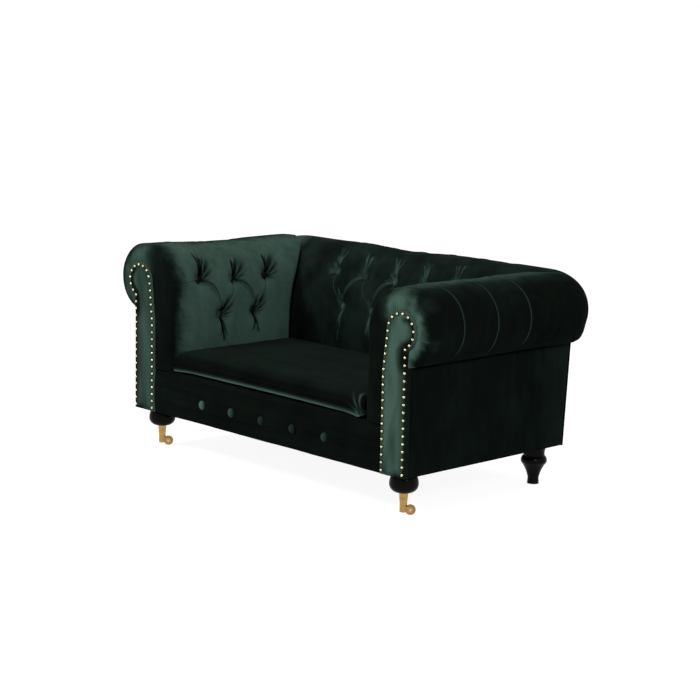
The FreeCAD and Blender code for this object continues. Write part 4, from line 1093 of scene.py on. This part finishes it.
def cover_sheet(name, node, corner_points, out, thickness, seed, nap_sheen_and_shade, counts):
    """A board's cloth cover: four corners, a soft swell, rolled edges and slight pulls."""
    low_left, low_right, top_right, top_left = (np.array(corner) for corner in corner_points)
    across = np.linspace(0, 1, counts[0])[None, :]
    up = np.linspace(0, 1, counts[1])[:, None]
    a = across[..., None]
    b = up[..., None]
    base = (1 - b) * ((1 - a) * low_left + a * low_right) + b * ((1 - a) * top_left + a * top_right)
    from_side = np.minimum(across, 1 - across) * np.linalg.norm(low_right - low_left)
    from_end = np.minimum(up, 1 - up) * np.linalg.norm(top_left - low_left)
    edge = np.minimum(from_side, from_end)
    wrinkle = fabric_noise(base, 14, seed)
    lift = PANEL_SWELL * smooth_step(0, 0.06, edge) + 0.0008 * wrinkle * smooth_step(0, 0.03, edge)
    lift = lift - rolled_edge(edge, PANEL_ROLL)
    out = np.array(out)
    made = slab(name, base + out * lift[..., None], base - out * thickness, 50)
    # Painted sheen: varying with the wrinkles and much lighter over the last part across, towards the back on
    # the sides and the right on the back.
    pile_sheen = nap_sheen_and_shade * (1 + 0.3 * wrinkle + 1.9 * smooth_step(0.70, 1.0, across))
    paint_velvet(made, np.concatenate([pile_sheen, pile_sheen], axis=1))
    finish_piece(made, "sofa", VELVET_UPRIGHT, node)


def outside_covers():
    """Smooth covers outside the arms and the back."""
    low, high = panel_low, panel_high
    rear_low, rear_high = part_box("outside_back_panel")
    thickness = high.x - low.x
    lean = rear_high.y - rear_low.y - thickness
    for side, way in SIDES.items():
        x = way * SIDE_PLANE
        corners = [(x, low.y, low.z), (x, high.y - lean, low.z), (x, high.y, high.z), (x, low.y, high.z)]
        cover_sheet(side + "_outside_cover", side + "_outside_panel", corners, (way, 0, 0), thickness,
                    5 + way, SIDE_PANEL_SHEEN, (110, 60))
    foot_y = rear_high.y - lean
    corners = [(-SIDE_PLANE, foot_y, low.z), (SIDE_PLANE, foot_y, low.z),
               (SIDE_PLANE, rear_high.y, high.z), (-SIDE_PLANE, rear_high.y, high.z)]
    cover_sheet("outside_back_cover", "outside_back_panel", corners, (0, 1, 0), thickness,
                9, REAR_PANEL_SHEEN, (180, 60))


RAIL_BULGE = 0.003
RAIL_ROUNDING = 0.009
RAIL_FLAP = 0.003
RAIL_PULL = 0.0062
RAIL_SHEEN = 0.015


def front_rail_cover(seed):
    """The padded front rail: a bulging face that turns over its top edge, pulled in at its buttons."""
    low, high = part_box("front_rail_pad")
    face = low.y + RAIL_BULGE
    half = high.x
    x = np.linspace(-half, half, 246)[:, None]
    rise = np.linspace(0, 1, 34)
    turn = np.linspace(0, math.pi / 2, 9)[1:]
    shoulder = high.z - RAIL_ROUNDING
    y = np.concatenate([[FACING_BACK], face - RAIL_BULGE * np.sin(math.pi * rise),
                        face + RAIL_ROUNDING * (1 - np.cos(turn)), [high.y, high.y, FACING_BACK]])
    z = np.concatenate([[low.z], low.z + rise * (shoulder - low.z), shoulder + RAIL_ROUNDING * np.sin(turn),
                        [high.z, high.z - RAIL_FLAP, high.z - RAIL_FLAP]])
    away = np.min([np.hypot(x - middle.x, z - middle.z) for middle in islands("front_rail_buttons")], axis=0)
    pull = RAIL_PULL * bell(away, 0.017, 1.5)
    wrinkle = 0.0010 * fabric_noise(grid_points(x, y, z), 24, seed)
    edge = smooth_step(0, 0.012, half - np.abs(x))
    on_face = y < face + 0.0021
    made = tube("front_rail_cover", grid_points(x, y + np.where(on_face, (pull + wrinkle) * edge, 0), z), 50)
    # Painted sheen: dark velvet, lighter where it wrinkles.
    paint_velvet(made, RAIL_SHEEN + 8 * np.abs(wrinkle))
    finish_piece(made, "sofa", VELVET_ALONG_X, "front_rail_pad")


# Seat
CUSHION_VOXEL = 0.0045
CUSHION_SWELL = 0.006
CUSHION_CORNER = 0.010
CUSHION_ARCH = 0.003
CUSHION_TILT = 0.002
SEAM_OUT = 0.0030
SEAM_IN = 0.0040
LIP_REACH = 0.007
LIP_DROOP = 0.005
# Painted highlight along the lower front seam
LIP_HIGHLIGHT = 1.4
EAR_SPREAD = 0.011
# Painted highlight on the gathers of the right front corner
EAR_HIGHLIGHT = 0.5
# Painted sheen of the cushion: on its sides, and more on its top
CUSHION_SHEEN = 0.008
CUSHION_TOP_SHEEN = 0.044
# Loops from the bottom up: share of the height, and inset from the sides
CUSHION_RINGS = ((0, 0.006), (0.07, 0.001), (0.25, 0), (0.45, 0.001), (0.65, 0.004), (0.82, 0.011),
                 (0.94, 0.024), (1, 0.045))
SIMULATION_FRAMES = 20


def rounded_box(name, low, high, corner):
    """A closed box with rounded upright corners and softened edges."""
    around = []
    for x, y, start in ((high.x - corner, high.y - corner, 0), (low.x + corner, high.y - corner, 90),
                        (low.x + corner, low.y + corner, 180), (high.x - corner, low.y + corner, 270)):
        for turn in np.radians(np.linspace(start, start + 90, 9)):
            around.append((x + corner * math.cos(turn), y + corner * math.sin(turn)))
    around = np.array(around)
    middle = np.array([(low.x + high.x) / 2, (low.y + high.y) / 2])
    loops = []
    for share, inset in CUSHION_RINGS:
        ring = middle + (around - middle) * (1 - inset / np.abs(around - middle).max(axis=0))
        loops.append(np.column_stack([ring, np.full(len(ring), low.z + share * (high.z - low.z))]))
    return tube(name, np.array(loops))


def with_modifiers(made):
    """The mesh of an object with its modifiers applied, in place of its own."""
    graph = bpy.context.evaluated_depsgraph_get()
    mesh = bpy.data.meshes.new_from_object(made.evaluated_get(graph))
    made.modifiers.clear()
    old = made.data
    made.data = mesh
    bpy.data.meshes.remove(old)


def inflate(made):
    """Fill a cushion by cloth pressure, with the move of each point capped."""
    rest = points_of(made)
    cloth = made.modifiers.new("Cloth", "CLOTH")
    settings = cloth.settings
    settings.quality = 6
    settings.mass = 0.3
    settings.tension_stiffness = 18
    settings.compression_stiffness = 18
    settings.bending_stiffness = 1.5
    settings.use_pressure = True
    settings.uniform_pressure_force = 4
    settings.effector_weights.gravity = 0
    cloth.point_cache.frame_start = 1
    cloth.point_cache.frame_end = SIMULATION_FRAMES
    for number in range(1, SIMULATION_FRAMES + 1):
        bpy.context.scene.frame_set(number)
    with_modifiers(made)
    moved = points_of(made) - rest
    length = np.linalg.norm(moved, axis=1, keepdims=True)
    moved *= np.minimum(1, CUSHION_SWELL / np.maximum(length, 1e-9))
    made.data.vertices.foreach_set("co", (rest + moved).ravel())
    bpy.context.scene.frame_set(1)


def cushion_form(low, high):
    """The cushion before its front edge is shaped: an even mesh, filled by cloth pressure, then finer."""
    below = Vector((0.002, 0.002, 0.002))
    above = Vector((0.002, 0.002, 0.010))
    made = rounded_box("seat_cushion_cover", low + below, high - above, CUSHION_CORNER)
    remesh = made.modifiers.new("Remesh", "REMESH")
    remesh.mode = "VOXEL"
    remesh.voxel_size = CUSHION_VOXEL
    with_modifiers(made)
    inflate(made)
    finer = made.modifiers.new("Subdivision", "SUBSURF")
    finer.levels = 1
    finer.render_levels = 1
    with_modifiers(made)
    return made


def seat_cushion(seed):
    """The loose cushion: arched under its front edge, with a rolled lower seam that hangs over the rail."""
    low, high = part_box("seat_cushion")
    high = high - Vector((0, BACK_LEAN, 0))
    made = cushion_form(low, high)
    x, y, z = points_of(made).T.copy()
    half = high.x
    front = low.y
    near_front = 1 - smooth_step(0.0, 0.10, y - front)
    arch = CUSHION_ARCH * np.clip(1 - (x / half) ** 2, 0, 1) * near_front
    height = np.clip((z - low.z) / (high.z - low.z), 0, 1)
    z = np.maximum(z, low.z + 0.0004)
    z = z + arch * (1 - height)
    z = z - CUSHION_TILT * smooth_step(0.05, 0.36, y - front) * smooth_step(0.35, 0.8, height)

    on_front = 1 - smooth_step(0.004, 0.030, y - front)
    above = z - (low.z + arch)
    lip = bell(above - 0.0048, 0.0030)
    groove = bell(above - 0.0140, 0.004)
    y = y + on_front * (SEAM_IN * groove - SEAM_OUT * lip)
    over_rail = bell(above - 0.004, 0.006) * (1 - smooth_step(0.002, 0.014, y - front))
    y = y - LIP_REACH * over_rail
    z = z - LIP_DROOP * over_rail * (1 + smooth_step(0.08, 0.30, x))

    ear_share = np.exp(-((np.abs(x) - half) / 0.030) ** 2 - ((y - front) / 0.030) ** 2)
    ear_share = ear_share * (1 - smooth_step(0.75, 1.0, height))
    x = x + np.sign(x) * EAR_SPREAD * ear_share
    y = y - EAR_SPREAD * ear_share
    in_corner = np.exp(-(((np.abs(x) - half + 0.016) / 0.026) ** 2 + ((y - front - 0.008) / 0.026) ** 2))
    ear = np.sin(np.arctan2(above, half - np.abs(x) + 0.010) * 20 + seed) * in_corner
    z = z + 0.0010 * ear * smooth_step(0.3, 0.7, height)
    wrinkle = fabric_noise(np.column_stack([x * 0.5, y, z]), 18, seed)
    z = z + 0.0012 * wrinkle * smooth_step(0.4, 0.9, height)
    y = np.minimum(y, high.y)
    made.data.vertices.foreach_set("co", np.column_stack([x, y, z]).ravel())
    made.data.shade_smooth()
    made.data.update()

    # Painted sheen and highlights: dark sides, a lighter top with lighter wrinkles towards its right, a
    # painted highlight along the lower front seam and on the gathers of the right front corner only.
    right_ear = in_corner * smooth_step(0, 0.1, x)
    wrinkle_sheen = np.clip(wrinkle, 0, 1) * smooth_step(-0.1, 0.3, x)
    pile_sheen = CUSHION_SHEEN + (CUSHION_TOP_SHEEN + 0.05 * wrinkle_sheen) * smooth_step(0.5, 0.9, height)
    paint_velvet(made, pile_sheen + LIP_HIGHLIGHT * lip * on_front + EAR_HIGHLIGHT * right_ear * np.clip(ear, 0, 1))
    finish_piece(made, "cushion", VELVET_ALONG_X, "seat_cushion")


STITCH_X = 0.27
STITCH_Y = 0.15
STITCH_DEPTH = 0.0025
DECK_SLACK = 0.0006
DECK_DROP = 0.0008


def seat_deck(seed):
    """The cloth-covered deck under the cushion, drawn down along its stitch lines."""
    low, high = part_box("seat_deck_pad")
    x, y = flat_grid(low, high, (150, 80))
    middle_y = 0.5 * (low.y + high.y)
    stitches = np.minimum(np.abs(np.abs(x) - STITCH_X), np.abs(np.abs(y - middle_y) - STITCH_Y))
    wrinkle = DECK_SLACK * fabric_noise(grid_points(x, y, 0), 20, seed)
    top = high.z - DECK_DROP - STITCH_DEPTH * bell(stitches, 0.006) - np.abs(wrinkle)
    made = slab("seat_deck_cover", grid_points(x, y, top), grid_points(x, y, low.z), 40)
    finish_piece(made, "sofa", DECK_CLOTH, "seat_deck_pad")


DUST_THICKNESS = 0.0008
DUST_LIFT = 0.0006
DUST_SLACK = 0.0006


def dust_cover(seed):
    """Thin cloth tacked under the frame, slightly slack between its tacks."""
    low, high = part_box("dust_cover")
    x, y = flat_grid(low, high, (90, 50))
    slack = DUST_SLACK * fabric_noise(grid_points(x, y, 0), 16, seed)
    edge = np.minimum(high.x - np.abs(x), np.minimum(y - low.y, high.y - y))
    bottom = low.z + DUST_LIFT + slack * smooth_step(0, 0.04, edge)
    made = slab("dust_cloth", grid_points(x, y, bottom), grid_points(x, y, bottom + DUST_THICKNESS), 40)
    finish_piece(made, "sofa", DUST_CLOTH, "dust_cover")


# CAD nodes that keep their own shape
SLOT_MATERIALS = {"timber": TIMBER, "board": BOARD, "webbing": WEBBING, "foot_lacquer": LACQUER,
                  "castor_brass": CASTOR_BRASS, "wheel_brass": WHEEL_BRASS, "steel": STEEL}


def dress_nodes():
    """Finish the CAD nodes that keep their own shape."""
    for row in frame["record"]["subparts"]:
        material = SLOT_MATERIALS.get(row["material_slot"])
        if material is None:
            continue
        mesh = frame["nodes"][row["node"]].data
        mesh.materials.clear()
        mesh.materials.append(material)


# Stage
AMBIENT = 0.30
FLOOR_REACH = 60
FLOOR_GLOW = 0.72
GLOW_STRENGTH = 1.28
LAMP_TARGET = (0, 0, 0.25)
# Name, place, size and power of each lamp
LAMPS = (("key", (-1.6, -2.2, 2.2), 0.8, 60), ("fill", (2.6, -1.2, 1.6), 0.8, 22),
         ("top", (0.2, 0.6, 2.8), 2.0, 30))


def surroundings():
    """A white world, dimmer as a light than it looks."""
    world = bpy.data.worlds.new("studio")
    bpy.context.scene.world = world
    world.use_nodes = True
    tree = Shading(world.node_tree)
    seen = tree.math("MULTIPLY", tree.background_rays(), 1 - AMBIENT)
    background = tree.nodes["Background"]
    background.inputs["Color"].default_value = (1, 1, 1, 1)
    tree.links.new(tree.math("ADD", seen, AMBIENT), background.inputs["Strength"])


def pale_floor():
    """A wide pale floor that glows where it is seen, so that it runs into the background."""
    points = [(FLOOR_REACH * x, FLOOR_REACH * y, 0) for x, y in ((-1, -1), (1, -1), (1, 1), (-1, 1))]
    floor = shape_object("floor", points, [(0, 1, 2, 3)])
    material, tree, shader = new_material("pale_floor")
    shader.inputs["Base Color"].default_value = (0.9, 0.9, 0.9, 1)
    shader.inputs["Roughness"].default_value = 0.9
    glow = tree.nodes.new("ShaderNodeEmission")
    blend = tree.nodes.new("ShaderNodeMixShader")
    glow.inputs["Strength"].default_value = GLOW_STRENGTH
    tree.links.new(tree.math("MULTIPLY", tree.background_rays(), FLOOR_GLOW), blend.inputs["Fac"])
    tree.links.new(shader.outputs["BSDF"], blend.inputs[1])
    tree.links.new(glow.outputs["Emission"], blend.inputs[2])
    tree.links.new(blend.outputs["Shader"], tree.nodes["Material Output"].inputs["Surface"])
    floor.data.materials.append(material)


def lamps():
    """Soft lamps that face the sofa."""
    for name, place, size, power in LAMPS:
        lamp = bpy.data.lights.new(name, "AREA")
        lamp.size = size
        lamp.energy = power
        holder = bpy.data.objects.new(name, lamp)
        bpy.context.scene.collection.objects.link(holder)
        holder.location = place
        holder.rotation_euler = (Vector(LAMP_TARGET) - Vector(place)).to_track_quat("-Z", "Y").to_euler()


def camera():
    """The photograph's point of view."""
    lens = bpy.data.cameras.new("camera")
    lens.lens = CAMERA_LENS
    lens.sensor_width = CAMERA_SENSOR
    lens.shift_x, lens.shift_y = CAMERA_SHIFT
    holder = bpy.data.objects.new("camera", lens)
    bpy.context.scene.collection.objects.link(holder)
    turn = math.radians(CAMERA_AZIMUTH)
    lift = math.radians(CAMERA_ELEVATION)
    back = Vector((math.sin(turn) * math.cos(lift), -math.cos(turn) * math.cos(lift), math.sin(lift)))
    facing = (-back).to_track_quat("-Z", "Y").to_matrix().to_4x4()
    roll = Matrix.Rotation(math.radians(CAMERA_ROLL), 4, "Z")
    holder.matrix_world = Matrix.Translation(Vector(CAMERA_TARGET) + back * CAMERA_DISTANCE) @ facing @ roll
    bpy.context.scene.camera = holder


bpy.context.scene.view_settings.view_transform = "Standard"
camera()
surroundings()
pale_floor()
lamps()
dress_nodes()
for each_side, each_way in SIDES.items():
    arm_cover(each_side, each_way, 11 + each_way)
    facing_cover(each_side, each_way, 31 + each_way)
    nail_heads(each_side)
back_cover(21)
front_rail_cover(41)
rail_buttons()
outside_covers()
seat_cushion(51)
seat_deck(61)
dust_cover(71)
